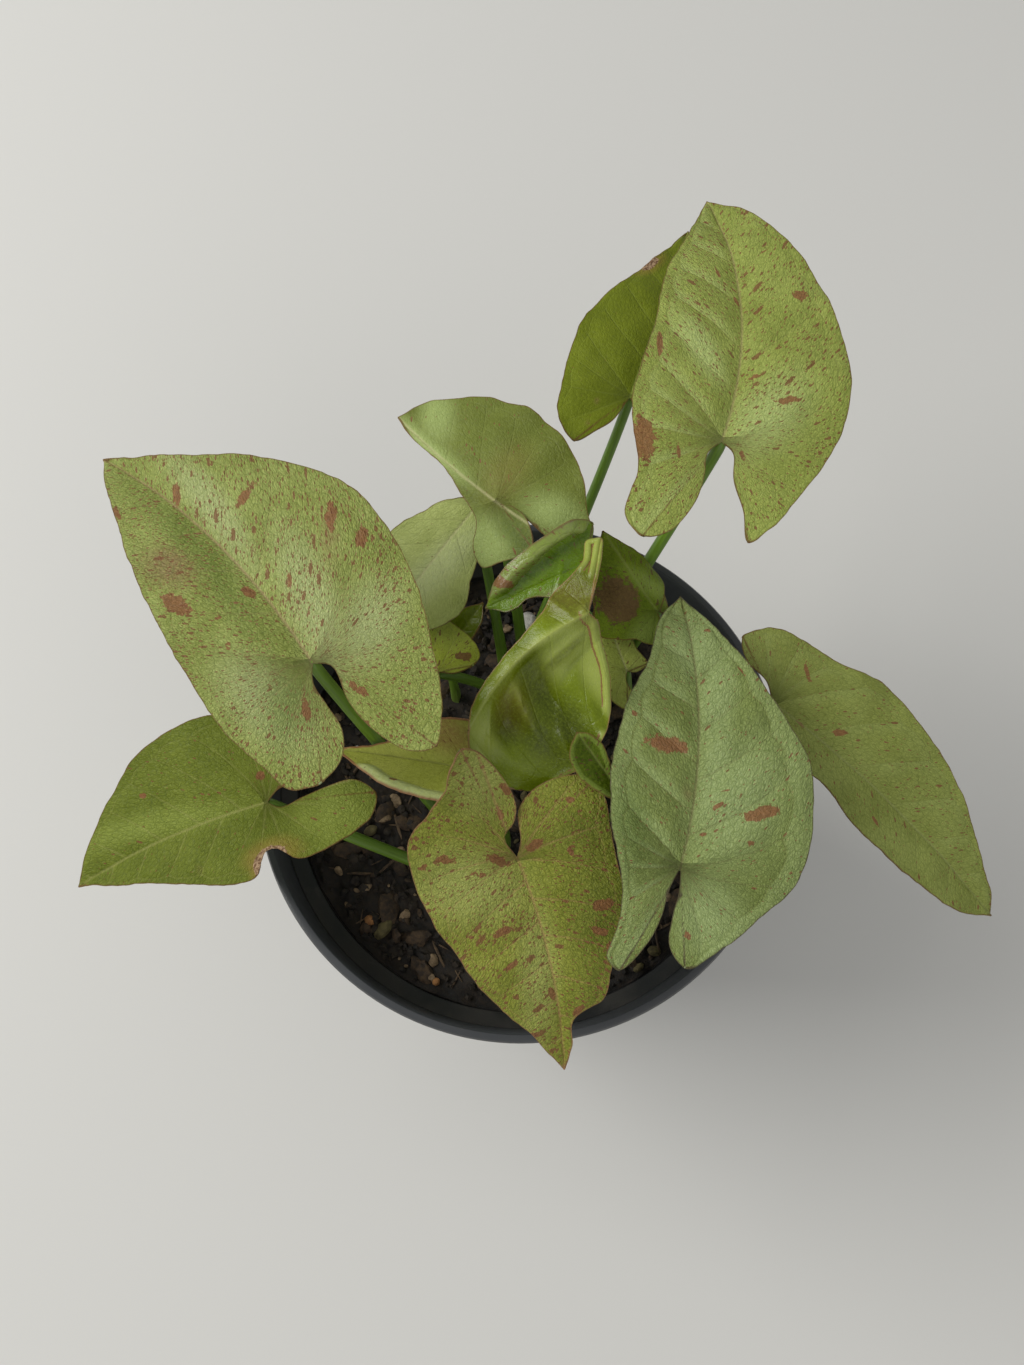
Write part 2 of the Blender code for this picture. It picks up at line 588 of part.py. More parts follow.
def stalk_line(leaf, surface):
    """Centre line and radii: up out of the mix, over to the blade, then under it as its midrib."""
    start = np.array([*leaf.foot, SOIL_TOP + STALK_CLEAR])
    end = np.array(leaf.base, float) - (0, 0, GAP)
    level = unit((end - start) * (1, 1, 0))
    arrival = unit(level * leaf.lean[0] + np.array([0, 0, leaf.lean[1]]))
    first = start + np.array([0, 0, STALK_RISE * (end[2] - start[2])])
    second = end - arrival * STALK_ARRIVAL * np.linalg.norm(end - start)
    line, radii = [np.array([*leaf.foot, HOLE_BOTTOM + GAP])], [leaf.stalk]
    for t in np.linspace(0, 1, STALK_RINGS):
        weights = ((1 - t) ** 3, 3 * t * (1 - t) ** 2, 3 * t * t * (1 - t), t ** 3)
        line.append(sum(w * p for w, p in zip(weights, (start, first, second, end))))
        radii.append(leaf.stalk * (1 - STALK_TAPER * t))
    for share in np.linspace(0, RIB_REACH, RIB_RINGS + 1)[1:]:
        under = RIB_SINK[0] - RIB_SINK[1] * share
        line.append(surface.at([(share * leaf.length, 0)], 0)[0] - (0, 0, under))
        radii.append(leaf.stalk * (RIB_SIZE - RIB_TAPER * share))
    return line, radii


def make_leaf(leaf):
    """A blade joined to its stalk."""
    surface = Surface(leaf)
    made = mesh_object(leaf.name, *blade_mesh(leaf, surface), material(leaf.name, leaf.colour, 0.45))
    stalk = mesh_object(leaf.name + "_stalk", *tube(*stalk_line(leaf, surface)))
    boolean(made, stalk, "UNION")
    smooth(made)


def main():
    remove_everything()
    make_pot()
    make_potting_mix()
    for name, place in CROWNS.items():
        make_crown(name, place)
    for leaf in LEAVES:
        make_leaf(leaf)


main()
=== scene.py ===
"""The looks of an arrowhead plant in its nursery pot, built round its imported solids.

Lengths in the tables are millimetres and angles are degrees; MM turns a length into metres.
The leaves keep the outlines and bends of the part's own source, and get their veins, net, flecks,
patches and margins here.
"""

import logging
import math
from dataclasses import dataclass
from enum import Enum
from typing import Callable

import bpy
import numpy as np
from mathutils import Matrix, Vector, noise


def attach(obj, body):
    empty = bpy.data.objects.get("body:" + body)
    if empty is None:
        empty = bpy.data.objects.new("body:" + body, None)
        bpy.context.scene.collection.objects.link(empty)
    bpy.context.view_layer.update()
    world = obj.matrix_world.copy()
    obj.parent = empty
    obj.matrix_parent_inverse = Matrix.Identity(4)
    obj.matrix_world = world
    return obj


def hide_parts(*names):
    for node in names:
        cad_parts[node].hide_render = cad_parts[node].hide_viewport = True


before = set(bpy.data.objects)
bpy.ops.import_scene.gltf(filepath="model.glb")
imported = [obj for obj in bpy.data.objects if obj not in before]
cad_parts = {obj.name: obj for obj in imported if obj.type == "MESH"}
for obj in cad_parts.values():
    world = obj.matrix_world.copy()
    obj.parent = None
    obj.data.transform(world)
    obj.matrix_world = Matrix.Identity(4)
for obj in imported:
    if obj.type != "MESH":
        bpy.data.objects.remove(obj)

MM = 0.001
# Heights of the mix's surface, and of the lower ends of stalks and crowns, above the pot's base.
SOIL_TOP = 92.5
ROOTED = 83.3

LOG = logging.getLogger("plant")
Colour = tuple[float, float, float]
Place = tuple[float, float, float]
Pair = tuple[float, float]
Marks = tuple[tuple[float, ...], ...]
Points = np.ndarray
Socket = bpy.types.NodeSocket
Outputs = bpy.types.bpy_prop_collection


class Slot(Enum):
    """The record's material slots."""

    POT = "pot"
    MIX = "potting_mix"
    CROWN = "crown"
    PALE = "leaf_pale"
    SAGE = "leaf_sage"
    OLIVE = "leaf_olive"
    FRESH = "leaf_fresh"
    GREY = "leaf_grey"


def unit(vectors: Points) -> Points:
    """Vectors of length one."""
    return vectors / np.maximum(np.linalg.norm(vectors, axis=-1, keepdims=True), 1e-12)


def eased(value: Points, low: float, high: float) -> Points:
    """A smooth step from 0 at low to 1 at high."""
    t = np.clip((value - low) / (high - low), 0, 1)
    return t * t * (3 - 2 * t)


def interpolated(wanted: Points, known: Points, vectors: Points) -> Points:
    """Vectors read off between known places."""
    return np.stack([np.interp(wanted, known, vectors[:, i]) for i in range(vectors.shape[1])], -1)


def rough(points: Points, scale: float, seed: float = 0.0) -> Points:
    """Smooth noise between about -1 and 1 at points.

    Args:
        points: Two or three numbers for each place, in millimetres.
        scale: Bumps to the millimetre.
        seed: Moves the pattern.

    Returns:
        One number for each place.
    """
    wide = np.zeros((len(points), 3))
    wide[:, : points.shape[1]] = points
    wide = wide * scale + seed
    return np.array([noise.noise(Vector(p)) for p in wide])


def toned(colour: Colour, factor: float, lift: float = 0.0) -> Colour:
    """A colour made lighter or darker."""
    return tuple(min(1.0, factor * part + lift) for part in colour)


def activate(piece: bpy.types.Object) -> None:
    """Selects one object alone and makes it the active one."""
    bpy.ops.object.select_all(action="DESELECT")
    piece.select_set(True)
    bpy.context.view_layer.objects.active = piece


def edit(piece: bpy.types.Object, *steps: Callable[[], object]) -> None:
    """Runs operators in edit mode on all of a piece's mesh.

    Args:
        piece: The object to change.
        steps: Functions that call one operator each.
    """
    activate(piece)
    bpy.ops.object.mode_set(mode="EDIT")
    bpy.ops.mesh.select_all(action="SELECT")
    for step in steps:
        step()
    bpy.ops.object.mode_set(mode="OBJECT")


def weld(piece: bpy.types.Object) -> None:
    """Merges the points of a piece that lie on each other."""
    edit(piece, lambda: bpy.ops.mesh.remove_doubles(threshold=0.002 * MM))


def closed(piece: bpy.types.Object) -> None:
    """Welds the seams and poles of a shell, then turns its faces outwards."""
    weld(piece)
    edit(piece, lambda: bpy.ops.mesh.normals_make_consistent(inside=False))


def smoothed(piece: bpy.types.Object, angle: float) -> None:
    """Shades a piece smooth, but for edges that bend by more than an angle."""
    activate(piece)
    bpy.ops.object.shade_smooth_by_angle(angle=math.radians(angle))


def joined(name: str, pieces: list[bpy.types.Object]) -> bpy.types.Object:
    """Joins objects into the first of them.

    Args:
        name: The name that it gets.
        pieces: The objects.

    Returns:
        The joined object.
    """
    bpy.ops.object.select_all(action="DESELECT")
    for piece in pieces:
        piece.select_set(True)
    bpy.context.view_layer.objects.active = pieces[0]
    if len(pieces) > 1:
        bpy.ops.object.join()
    made = bpy.context.view_layer.objects.active
    made.name = made.data.name = name
    return made


def applied(piece: bpy.types.Object, kind: str, **settings: object) -> None:
    """Adds a modifier with its settings and applies it.

    Args:
        piece: The object that it changes.
        kind: The modifier's type.
        settings: The modifier's properties.
    """
    activate(piece)
    step = piece.modifiers.new(kind.title(), kind)
    for key, value in settings.items():
        setattr(step, key, value)
    bpy.ops.object.modifier_apply(modifier=step.name)


def sheet(name: str, columns: int, rows: int, shape: Callable[[Points, Points], Points],
          fields: Callable[[Points, Points], dict[str, Points]] | None = None) -> bpy.types.Object:
    """A grid primitive that is bent into a shape.

    Args:
        name: The object's name.
        columns: Faces along the grid.
        rows: Faces across the grid.
        shape: Gives points in millimetres for column and row shares between 0 and 1.
        fields: Gives three-part values by name, which are kept at the faces' corners.

    Returns:
        The bent grid.
    """
    bpy.ops.object.select_all(action="DESELECT")
    bpy.ops.mesh.primitive_grid_add(x_subdivisions=columns, y_subdivisions=rows, size=1,
                                    calc_uvs=False)
    made = bpy.context.active_object
    made.name = made.data.name = name
    mesh = made.data
    flat = np.zeros(len(mesh.vertices) * 3)
    mesh.vertices.foreach_get("co", flat)
    share = flat.reshape(-1, 3)[:, :2] + 0.5
    mesh.vertices.foreach_set("co", (shape(share[:, 0], share[:, 1]) * MM).ravel())
    corners = np.zeros(len(mesh.loops), int)
    mesh.loops.foreach_get("vertex_index", corners)
    for key, values in (fields(share[:, 0], share[:, 1]) if fields else {}).items():
        layer = mesh.attributes.new(key, "FLOAT_VECTOR", "CORNER")
        layer.data.foreach_set("vector", values[corners].astype(np.float32).ravel())
    mesh.update()
    return made


def tube(name: str, line: Points, radius: Points, columns: int, rows: int,
         ripple: Callable[[Points, Points], Points] | None = None) -> bpy.types.Object:
    """A closed tube along a line, from a grid that is rolled up.

    Args:
        name: The object's name.
        line: Points of the centre line in millimetres.
        radius: The tube's radius at each of them, 0 at a closed end.
        columns: Rings along the tube.
        rows: Faces round it.
        ripple: A factor on the radius, by share along and angle round.

    Returns:
        The tube, with the field "along": millimetres along it, and shares round and along it.
    """
    way = unit(np.gradient(line, axis=0))
    sides = [unit(np.cross(way[0], (0.3, 1.0, 0.1)))]
    for forward in way[1:]:
        sides.append(unit(sides[-1] - forward * (sides[-1] @ forward)))
    sides = np.array(sides)
    others = np.cross(way, sides)
    known = np.linspace(0, 1, len(line))
    run = np.concatenate([[0], np.cumsum(np.linalg.norm(np.diff(line, axis=0), axis=1))])

    def shape(along: Points, around: Points) -> Points:
        """Points of the tube's wall."""
        angle = 2 * np.pi * around
        size = np.interp(along, known, radius)
        if ripple:
            size = size * ripple(along, angle)
        out = np.cos(angle)[:, None] * interpolated(along, known, sides)
        out = out + np.sin(angle)[:, None] * interpolated(along, known, others)
        return interpolated(along, known, line) + size[:, None] * out

    def fields(along: Points, around: Points) -> dict[str, Points]:
        """The tube's own field."""
        return {"along": np.stack([np.interp(along, known, run), around, along], -1)}

    made = sheet(name, columns, rows, shape, fields)
    closed(made)
    return made


class Graph:
    """A shader node tree that grows one node at a time."""

    def __init__(self, tree: bpy.types.NodeTree) -> None:
        """Keeps the tree that nodes are added to."""
        self.tree = tree

    def feed(self, socket: Socket, value: object) -> None:
        """Links a socket's value, or sets it as a plain number or colour."""
        if isinstance(value, bpy.types.NodeSocket):
            self.tree.links.new(value, socket)
        elif value is not None:
            socket.default_value = value

    def add(self, kind: str, values: dict[object, object] | None = None,
            **settings: object) -> bpy.types.Node:
        """Adds a node.

        Args:
            kind: The node's type name, without its ShaderNode prefix.
            values: Inputs by name or number.
            settings: The node's own properties.

        Returns:
            The node.
        """
        made = self.tree.nodes.new("ShaderNode" + kind)
        for key, value in settings.items():
            setattr(made, key, value)
        for key, value in (values or {}).items():
            self.feed(made.inputs[key], value)
        return made

    def math(self, what: str, first: object, second: object = None) -> Socket:
        """One sum on numbers."""
        return self.add("Math", {0: first, 1: second}, operation=what).outputs[0]

    def plus(self, first: object, second: object) -> Socket:
        """Two numbers added."""
        return self.math("ADD", first, second)

    def less(self, first: object, second: object) -> Socket:
        """The first number less the second."""
        return self.math("SUBTRACT", first, second)

    def times(self, first: object, second: object) -> Socket:
        """Two numbers multiplied."""
        return self.math("MULTIPLY", first, second)

    def most(self, first: object, second: object) -> Socket:
        """The greater of two numbers."""
        return self.math("MAXIMUM", first, second)

    def vector(self, what: str, first: object, second: object) -> Socket:
        """One sum on vectors."""
        return self.add("VectorMath", {0: first, 1: second}, operation=what).outputs[0]

    def spread(self, value: Socket, low: float, high: float, start: float = 0.0,
               end: float = 1.0) -> Socket:
        """Maps low to start and high to end, smoothly and no further."""
        values = {"Value": value, "From Min": low, "From Max": high, "To Min": start, "To Max": end}
        return self.add("MapRange", values, interpolation_type="SMOOTHSTEP").outputs[0]

    def ridge(self, distance: Socket, width: object) -> Socket:
        """The mask of a line: 1 where the distance to it is 0, fading to 0 at its width."""
        share = self.math("DIVIDE", self.math("ABSOLUTE", distance), width)
        return self.spread(self.less(1.0, share), 0.0, 1.0)

    def mix(self, share: object, first: object, second: object, how: str = "MIX") -> Socket:
        """A colour between two colours.

        Args:
            share: How much of the second there is.
            first: A colour or its socket.
            second: Another.
            how: The way that they blend.

        Returns:
            The blend.
        """
        node = self.add("Mix", data_type="RGBA", blend_type=how, clamp_factor=True)
        for key, value in ((0, share), (6, first), (7, second)):
            if isinstance(value, tuple):
                value = (*value, 1.0)
            self.feed(node.inputs[key], value)
        return node.outputs[2]

    def layers(self, colour: Socket, *coats: tuple[Socket, float, object]) -> Socket:
        """Lays colours over a colour in turn, each as (mask, strength, colour)."""
        for mask, strength, coat in coats:
            colour = self.mix(self.times(mask, strength), colour, coat)
        return colour

    def field(self, name: str) -> Socket:
        """A piece's own three-part field."""
        return self.add("Attribute", attribute_name=name).outputs["Vector"]

    def place(self) -> Socket:
        """Object coordinates, in metres."""
        return self.add("TexCoord").outputs["Object"]

    def parts(self, vector: Socket) -> tuple[Socket, Socket, Socket]:
        """The three numbers of a vector."""
        node = self.add("SeparateXYZ", {0: vector})
        return node.outputs[0], node.outputs[1], node.outputs[2]

    def noise(self, place: Socket, scale: float, detail: float = 3.0, roughness: float = 0.55) -> Socket:
        """Cloudy noise between 0 and 1."""
        values = {"Vector": place, "Scale": scale, "Detail": detail, "Roughness": roughness}
        return self.add("TexNoise", values).outputs[0]

    def cells(self, place: Socket, scale: float, feature: str) -> Outputs:
        """The outputs of flat random cells."""
        return self.add("TexVoronoi", {"Vector": place, "Scale": scale}, feature=feature,
                        voronoi_dimensions="2D").outputs

    def group(self, tree: bpy.types.NodeTree, values: dict[str, object]) -> Outputs:
        """Places a shared effect with its own values and gives its outputs."""
        return self.add("Group", values, node_tree=tree).outputs


class Skin(Graph):
    """A material that is being built, with its Principled shader."""

    def __init__(self, name: str) -> None:
        """Makes the material."""
        self.made = bpy.data.materials.new(name)
        self.made.use_nodes = True
        super().__init__(self.made.node_tree)
        self.shader = self.tree.nodes["Principled BSDF"]

    def finished(self, colour: object, roughness: object, height: object = None,
                 depth: float = 1.0) -> bpy.types.Material:
        """Gives the shader its colour, roughness and relief.

        Args:
            colour: A colour's socket, or one colour all over.
            roughness: A number's socket, or one number all over.
            height: A height between about 0 and 1, if there is a relief.
            depth: What a height of 1 stands for, in millimetres.

        Returns:
            The material.
        """
        self.feed(self.shader.inputs["Base Color"], colour)
        self.feed(self.shader.inputs["Roughness"], roughness)
        if height is not None:
            bump = self.add("Bump", {"Strength": 1.0, "Distance": depth * MM, "Height": height})
            self.feed(self.shader.inputs["Normal"], bump.outputs[0])
        return self.made


def effect(name: str, vectors: tuple[str, ...], numbers: tuple[str, ...], masks: tuple[str, ...],
           build: Callable[[Graph, dict[str, Socket]], dict[str, Socket]]) -> bpy.types.NodeTree:
    """A shared shader effect, built once and then found by its name.

    Args:
        name: The node group's name.
        vectors: Names of its vector inputs.
        numbers: Names of its number inputs.
        masks: Names of its outputs.
        build: Adds the nodes and gives the outputs' sockets.

    Returns:
        The node group.
    """
    if name in bpy.data.node_groups:
        return bpy.data.node_groups[name]
    tree = bpy.data.node_groups.new(name, "ShaderNodeTree")
    for way, kind, keys in (("INPUT", "NodeSocketVector", vectors), ("INPUT", "NodeSocketFloat", numbers),
                            ("OUTPUT", "NodeSocketFloat", masks)):
        for key in keys:
            tree.interface.new_socket(name=key, in_out=way, socket_type=kind)
    graph = Graph(tree)
    into = tree.nodes.new("NodeGroupInput")
    out = tree.nodes.new("NodeGroupOutput")
    for key, socket in build(graph, {s.name: s for s in into.outputs if s.name}).items():
        tree.links.new(socket, out.inputs[key])
    return tree


def vein_effect() -> bpy.types.NodeTree:
    """Masks of the side veins, the midrib, the painted highlight on crescents beside the veins, and the outer
    strip.
    """

    def build(graph: Graph, given: dict[str, Socket]) -> dict[str, Socket]:
        """Adds the effect's nodes and gives its outputs."""
        rank, gap, _ = graph.parts(given["Vein"])
        along, across, _ = graph.parts(given["Flat"])
        _, row, collector = graph.parts(given["Rim"])
        distance = graph.times(graph.math("PINGPONG", rank, 0.5), gap)
        width = graph.times(given["Width"], graph.spread(row, 0.0, 1.0, 1.0, 0.35))
        side = graph.times(graph.ridge(distance, width), graph.spread(row, 0.8, 0.95, 1.0, 0.0))
        side = graph.times(side, graph.spread(along, -16.0, -5.0, 0.1, 1.0))
        ring = graph.ridge(collector, graph.times(given["Width"], 0.6))
        ring = graph.times(ring, graph.spread(along, -12.0, -4.0, 0.0, 0.6))
        # The crescents are painted highlight: the strip tipward of each vein and the cells inside the
        # collecting vein are made paler, as if the quilted panels caught the light.
        cell = graph.math("FRACT", rank)
        strip = graph.spread(cell, 0.02, 0.42, 1.0, 0.0)
        loop = graph.times(graph.spread(collector, -3.2, -0.2, 0.0, 0.8),
                           graph.spread(cell, 0.1, 0.95, 1.0, 0.35))
        painted_crescent_light = graph.times(graph.most(strip, loop), graph.spread(collector, -0.5, 0.1, 1.0, 0.0))
        painted_crescent_light = graph.times(painted_crescent_light, graph.spread(across, 0.6, 2.5))
        painted_crescent_light = graph.times(painted_crescent_light, graph.spread(row, 0.1, 0.3, 0.35, 1.0))
        return {"Side": graph.most(side, ring), "Middle": graph.ridge(across, given["Midrib"]),
                "Glow": painted_crescent_light, "Outer": graph.spread(collector, 0.0, 0.7)}

    return effect("leaf veins", ("Vein", "Flat", "Rim"), ("Width", "Midrib"),
                  ("Side", "Middle", "Glow", "Outer"), build)


def net_effect() -> bpy.types.NodeTree:
    """The fine net between the veins: thin meshes of two sizes."""

    def build(graph: Graph, given: dict[str, Socket]) -> dict[str, Socket]:
        """Adds the effect's nodes and gives its outputs."""
        warp = graph.add("TexNoise", {"Vector": given["Vector"], "Scale": 0.8, "Detail": 2.0}).outputs[1]
        bent = graph.vector("SUBTRACT", warp, (0.5, 0.5, 0.5))
        bent = graph.vector("MULTIPLY", bent, (1.3, 1.3, 1.3))
        place = graph.vector("ADD", given["Grain"], bent)
        place = graph.vector("MULTIPLY", place, (1.25, 0.8, 1.0))
        large, small = (graph.cells(place, scale, "DISTANCE_TO_EDGE")["Distance"] for scale in (0.62, 1.55))
        coarse = graph.spread(large, 0.0, 0.10, 1.0, 0.0)
        fine = graph.times(graph.spread(small, 0.0, 0.22, 1.0, 0.0), 0.6)
        cells = graph.plus(graph.spread(large, 0.0, 0.35), graph.spread(small, 0.0, 0.32))
        return {"Mask": graph.most(coarse, fine), "Cells": graph.times(cells, 0.5)}

    return effect("leaf net", ("Vector", "Grain"), (), ("Mask", "Cells"), build)


def fleck_effect() -> bpy.types.NodeTree:
    """Small flecks drawn out along the veins, in loose clusters."""
    sizes = ((0.32, 0.28, 0.2), (0.62, 0.3, 0.4), (1.05, 0.32, 0.6), (1.8, 0.34, 0.7))

    def build(graph: Graph, given: dict[str, Socket]) -> dict[str, Socket]:
        """Adds the effect's nodes and gives its outputs."""
        cluster = graph.noise(given["Vector"], 0.1, 2.0)
        wobble = graph.times(graph.less(graph.noise(given["Vector"], 1.6, 2.0), 0.5), 0.5)
        place = graph.vector("MULTIPLY", given["Grain"], (1.35, 0.62, 1.0))
        mask = None
        for scale, size, share in sizes:
            cells = graph.cells(place, scale, "F1")
            luck, bulk, _ = graph.parts(cells["Color"])
            chance = graph.times(graph.spread(cluster, 0.3, 0.7, 0.3 * share, 1.5 * share),
                                 given["Amount"])
            reach = graph.plus(graph.times(graph.spread(bulk, 0.0, 1.0, 0.35, 1.0), size), wobble)
            reach = graph.times(reach, graph.spread(graph.less(chance, luck), 0.0, 0.03))
            fleck = graph.spread(graph.less(reach, cells["Distance"]), -0.01, 0.03 + 0.03 * scale)
            mask = fleck if mask is None else graph.most(mask, fleck)
        return {"Mask": mask}

    return effect("leaf flecks", ("Vector", "Grain"), ("Amount",), ("Mask",), build)


def patch_effect() -> bpy.types.NodeTree:
    """Bigger patches with ragged edges, soft stains and withered places, from a blade's spot field."""

    def build(graph: Graph, given: dict[str, Socket]) -> dict[str, Socket]:
        """Adds the effect's nodes and gives its outputs."""
        spot, stain, dead = graph.parts(given["Spots"])
        coarse = graph.less(graph.noise(given["Vector"], 0.8, 3.0, 0.65), 0.5)
        torn = graph.less(graph.noise(given["Vector"], 0.5, 5.0, 0.75), 0.5)
        ragged = graph.plus(spot, graph.times(torn, 2.3))
        cloud = graph.spread(graph.noise(given["Vector"], 0.35, 4.0), 0.3, 0.7, 0.4, 1.0)
        crisp = graph.plus(dead, graph.times(coarse, 0.5))
        return {"Patch": graph.spread(ragged, -0.04, 0.06),
                "Stain": graph.spread(graph.times(stain, cloud), 0.0, 1.0),
                "Dead": graph.spread(crisp, -0.03, 0.05), "Halo": graph.spread(crisp, -1.6, 0.0)}

    return effect("leaf patches", ("Spots", "Vector"), (), ("Patch", "Stain", "Dead", "Halo"), build)


@dataclass(frozen=True)
class BladeFinish:
    """How the upper and under face of one blade look.

    light and dark are the mottled ground, under is the under face, and warm is what the browner
    places turn to. pale is the colour of the painted highlights, of the strip outside the collecting
    vein and of the rolled margins' under face, and deep multiplies the colour where painted shade
    lies. halo, husk and straw are the rim and the inside of withered ones. painted_crescent_light and
    outer say how pale the crescents beside the veins, which are painted highlight, and the strip
    outside the collecting vein are. The rest sets the veins, flecks, net and margin.
    """

    slot: Slot
    light: Colour
    dark: Colour
    under: Colour
    # pale colours the painted highlights, the outer strip and the rolled margins; deep multiplies in painted
    # shade.
    pale: Colour = (0.40, 0.46, 0.20)
    deep: Colour = (0.45, 0.5, 0.32)
    warm: Colour = (0.22, 0.13, 0.06)
    rib: Colour = (0.50, 0.46, 0.24)
    rib_show: float = 0.45
    side_show: float = 0.12
    fleck: Colour = (0.215, 0.088, 0.036)
    flecks: float = 0.3
    margin: Colour = (0.13, 0.06, 0.02)
    margin_width: float = 0.22
    net_depth: float = 0.09
    net_show: float = 0.5
    roughness: float = 0.46
    gloss: float = 0.18
    # painted_crescent_light is how strong the painted highlight on the crescents beside the veins is.
    painted_crescent_light: float = 0.0
    outer: float = 0.0
    rib_depth: float = -0.07
    net_tint: Colour = (0.55, 0.6, 0.46)
    halo: Colour = (0.26, 0.18, 0.035)
    husk: Colour = (0.13, 0.065, 0.03)
    straw: Colour = (0.40, 0.27, 0.16)

    def effects(self, graph: Graph, width: float, midrib: float) -> tuple[Socket, Outputs, Outputs, Outputs]:
        """What both faces of a blade share.

        Args:
            graph: The material's graph.
            width: Half the width of a side vein.
            midrib: Half the width of the midrib.

        Returns:
            The flat place, and the outputs of the veins, the net and the patches.
        """
        flat = graph.field("flat")
        veins = graph.group(vein_effect(), {"Vein": graph.field("vein"), "Flat": flat,
                                            "Rim": graph.field("rim"), "Width": width, "Midrib": midrib})
        net = graph.group(net_effect(), {"Vector": flat, "Grain": graph.field("grain")})
        spots = graph.group(patch_effect(), {"Spots": graph.field("spots"), "Vector": flat})
        return flat, veins, net, spots

    def top(self, name: str) -> bpy.types.Material:
        """The upper face: mottled green with veins, net, flecks, patches and a thin dark margin.

        Args:
            name: The leaf's name.

        Returns:
            The material.
        """
        graph = Skin(name + "_top")
        flat, veins, net, spots = self.effects(graph, 0.5, 0.6)
        edge, _, _ = graph.parts(graph.field("rim"))
        painted_light, shade, warmth = graph.parts(graph.field("tints"))
        flecks = graph.group(fleck_effect(), {"Vector": flat, "Grain": graph.field("grain"),
                                              "Amount": self.flecks})
        cloud = graph.noise(flat, 0.07, 4.0, 0.6)
        fine = graph.noise(flat, 1.3, 3.0, 0.7)
        colour = graph.mix(graph.spread(cloud, 0.32, 0.68), self.dark, self.light)
        # painted_light lays painted highlight over the ground, and painted_crescent_light does so on the
        # crescents beside the veins.
        colour = graph.layers(colour, (painted_light, 0.85, self.pale), (veins["Glow"], self.painted_crescent_light, self.pale),
                              (veins["Outer"], self.outer, self.pale))
        # Painted shade: the shades' ovals multiply the colour by deep.
        colour = graph.mix(shade, colour, self.deep, "MULTIPLY")
        colour = graph.layers(colour, (warmth, 0.75, self.warm))
        colour = graph.mix(graph.spread(fine, 0.35, 0.75, 0.0, 0.35), colour, toned(self.light, 1.35, 0.01))
        lines = graph.mix(graph.times(net["Mask"], self.net_show), (1.0, 1.0, 1.0), self.net_tint)
        colour = graph.mix(1.0, colour, lines, "MULTIPLY")
        tone = graph.mix(graph.spread(fine, 0.35, 0.65), toned(self.fleck, 0.85), toned(self.fleck, 1.1))
        ragged = graph.plus(edge, graph.times(graph.noise(flat, 0.5, 2.0), 0.3))
        line = graph.spread(ragged, self.margin_width * 0.6, self.margin_width + 0.3, 1.0, 0.0)
        colour = graph.layers(colour, (veins["Side"], self.side_show, self.rib),
                              (spots["Stain"], 0.45, self.warm), (spots["Halo"], 0.55, self.halo),
                              (spots["Patch"], 0.88, tone), (flecks["Mask"], 0.85, toned(self.fleck, 0.8)),
                              (veins["Middle"], self.rib_show, self.rib), (line, 0.85, self.margin))
        withered = graph.spread(graph.noise(flat, 1.6, 3.0), 0.35, 0.65)
        colour = graph.mix(spots["Dead"], colour, graph.mix(withered, self.husk, self.straw))
        satin = graph.spread(fine, 0.3, 0.7, self.roughness - 0.07, self.roughness + 0.10)
        height = graph.times(net["Cells"], self.net_depth)
        for relief, depth in ((veins["Side"], -0.08), (veins["Middle"], self.rib_depth), (fine, 0.07)):
            height = graph.plus(height, graph.times(relief, depth))
        graph.shader.inputs["Specular IOR Level"].default_value = self.gloss
        return graph.finished(colour, satin, height)

    def bottom(self, name: str) -> bpy.types.Material:
        """The under face: paler and duller, with the veins standing out.

        Args:
            name: The leaf's name.

        Returns:
            The material.
        """
        graph = Skin(name + "_under")
        flat, veins, net, spots = self.effects(graph, 0.6, 1.0)
        ribs = graph.most(veins["Side"], veins["Middle"])
        clear = toned(self.under, 1.25)
        cloud = graph.noise(flat, 0.09, 4.0, 0.6)
        colour = graph.mix(graph.spread(cloud, 0.3, 0.7), toned(self.under, 0.75), self.under)
        colour = graph.layers(colour, (net["Mask"], 0.3, clear), (ribs, 0.5, clear),
                              (spots["Patch"], 0.5, self.fleck))
        height = graph.plus(graph.times(net["Mask"], 0.05), graph.times(ribs, 0.22))
        return graph.finished(colour, 0.6, height)


SPECKLED = BladeFinish(Slot.PALE, (0.295, 0.335, 0.09), (0.22, 0.255, 0.052), (0.33, 0.38, 0.17),
                       pale=(0.38, 0.42, 0.185), deep=(0.62, 0.68, 0.5), rib=(0.34, 0.22, 0.12), flecks=0.6,
                       rib_show=0.55, net_depth=0.18, net_show=0.9)
TALL = BladeFinish(Slot.PALE, (0.30, 0.345, 0.078), (0.232, 0.272, 0.05), (0.33, 0.38, 0.17),
                   pale=(0.40, 0.47, 0.17), rib=(0.33, 0.24, 0.12), flecks=0.45, side_show=0.1,
                   painted_crescent_light=0.45, net_show=0.8, net_depth=0.15)
FRONT = BladeFinish(Slot.PALE, (0.262, 0.276, 0.042), (0.188, 0.207, 0.021), (0.33, 0.38, 0.17),
                    pale=(0.34, 0.365, 0.10), deep=(0.66, 0.7, 0.6), rib=(0.36, 0.20, 0.09), flecks=0.6,
                    margin=(0.22, 0.11, 0.05), side_show=0.35, net_show=0.9, net_depth=0.18)
SAGE = BladeFinish(Slot.SAGE, (0.21, 0.256, 0.072), (0.15, 0.186, 0.043), (0.30, 0.36, 0.17),
                   pale=(0.30, 0.37, 0.15), deep=(0.6, 0.66, 0.5), rib=(0.13, 0.10, 0.04), rib_show=0.5,
                   flecks=0.13, margin=(0.06, 0.035, 0.02), side_show=0.22, painted_crescent_light=0.6, outer=0.4,
                   net_show=0.85, net_depth=0.18, gloss=0.22)
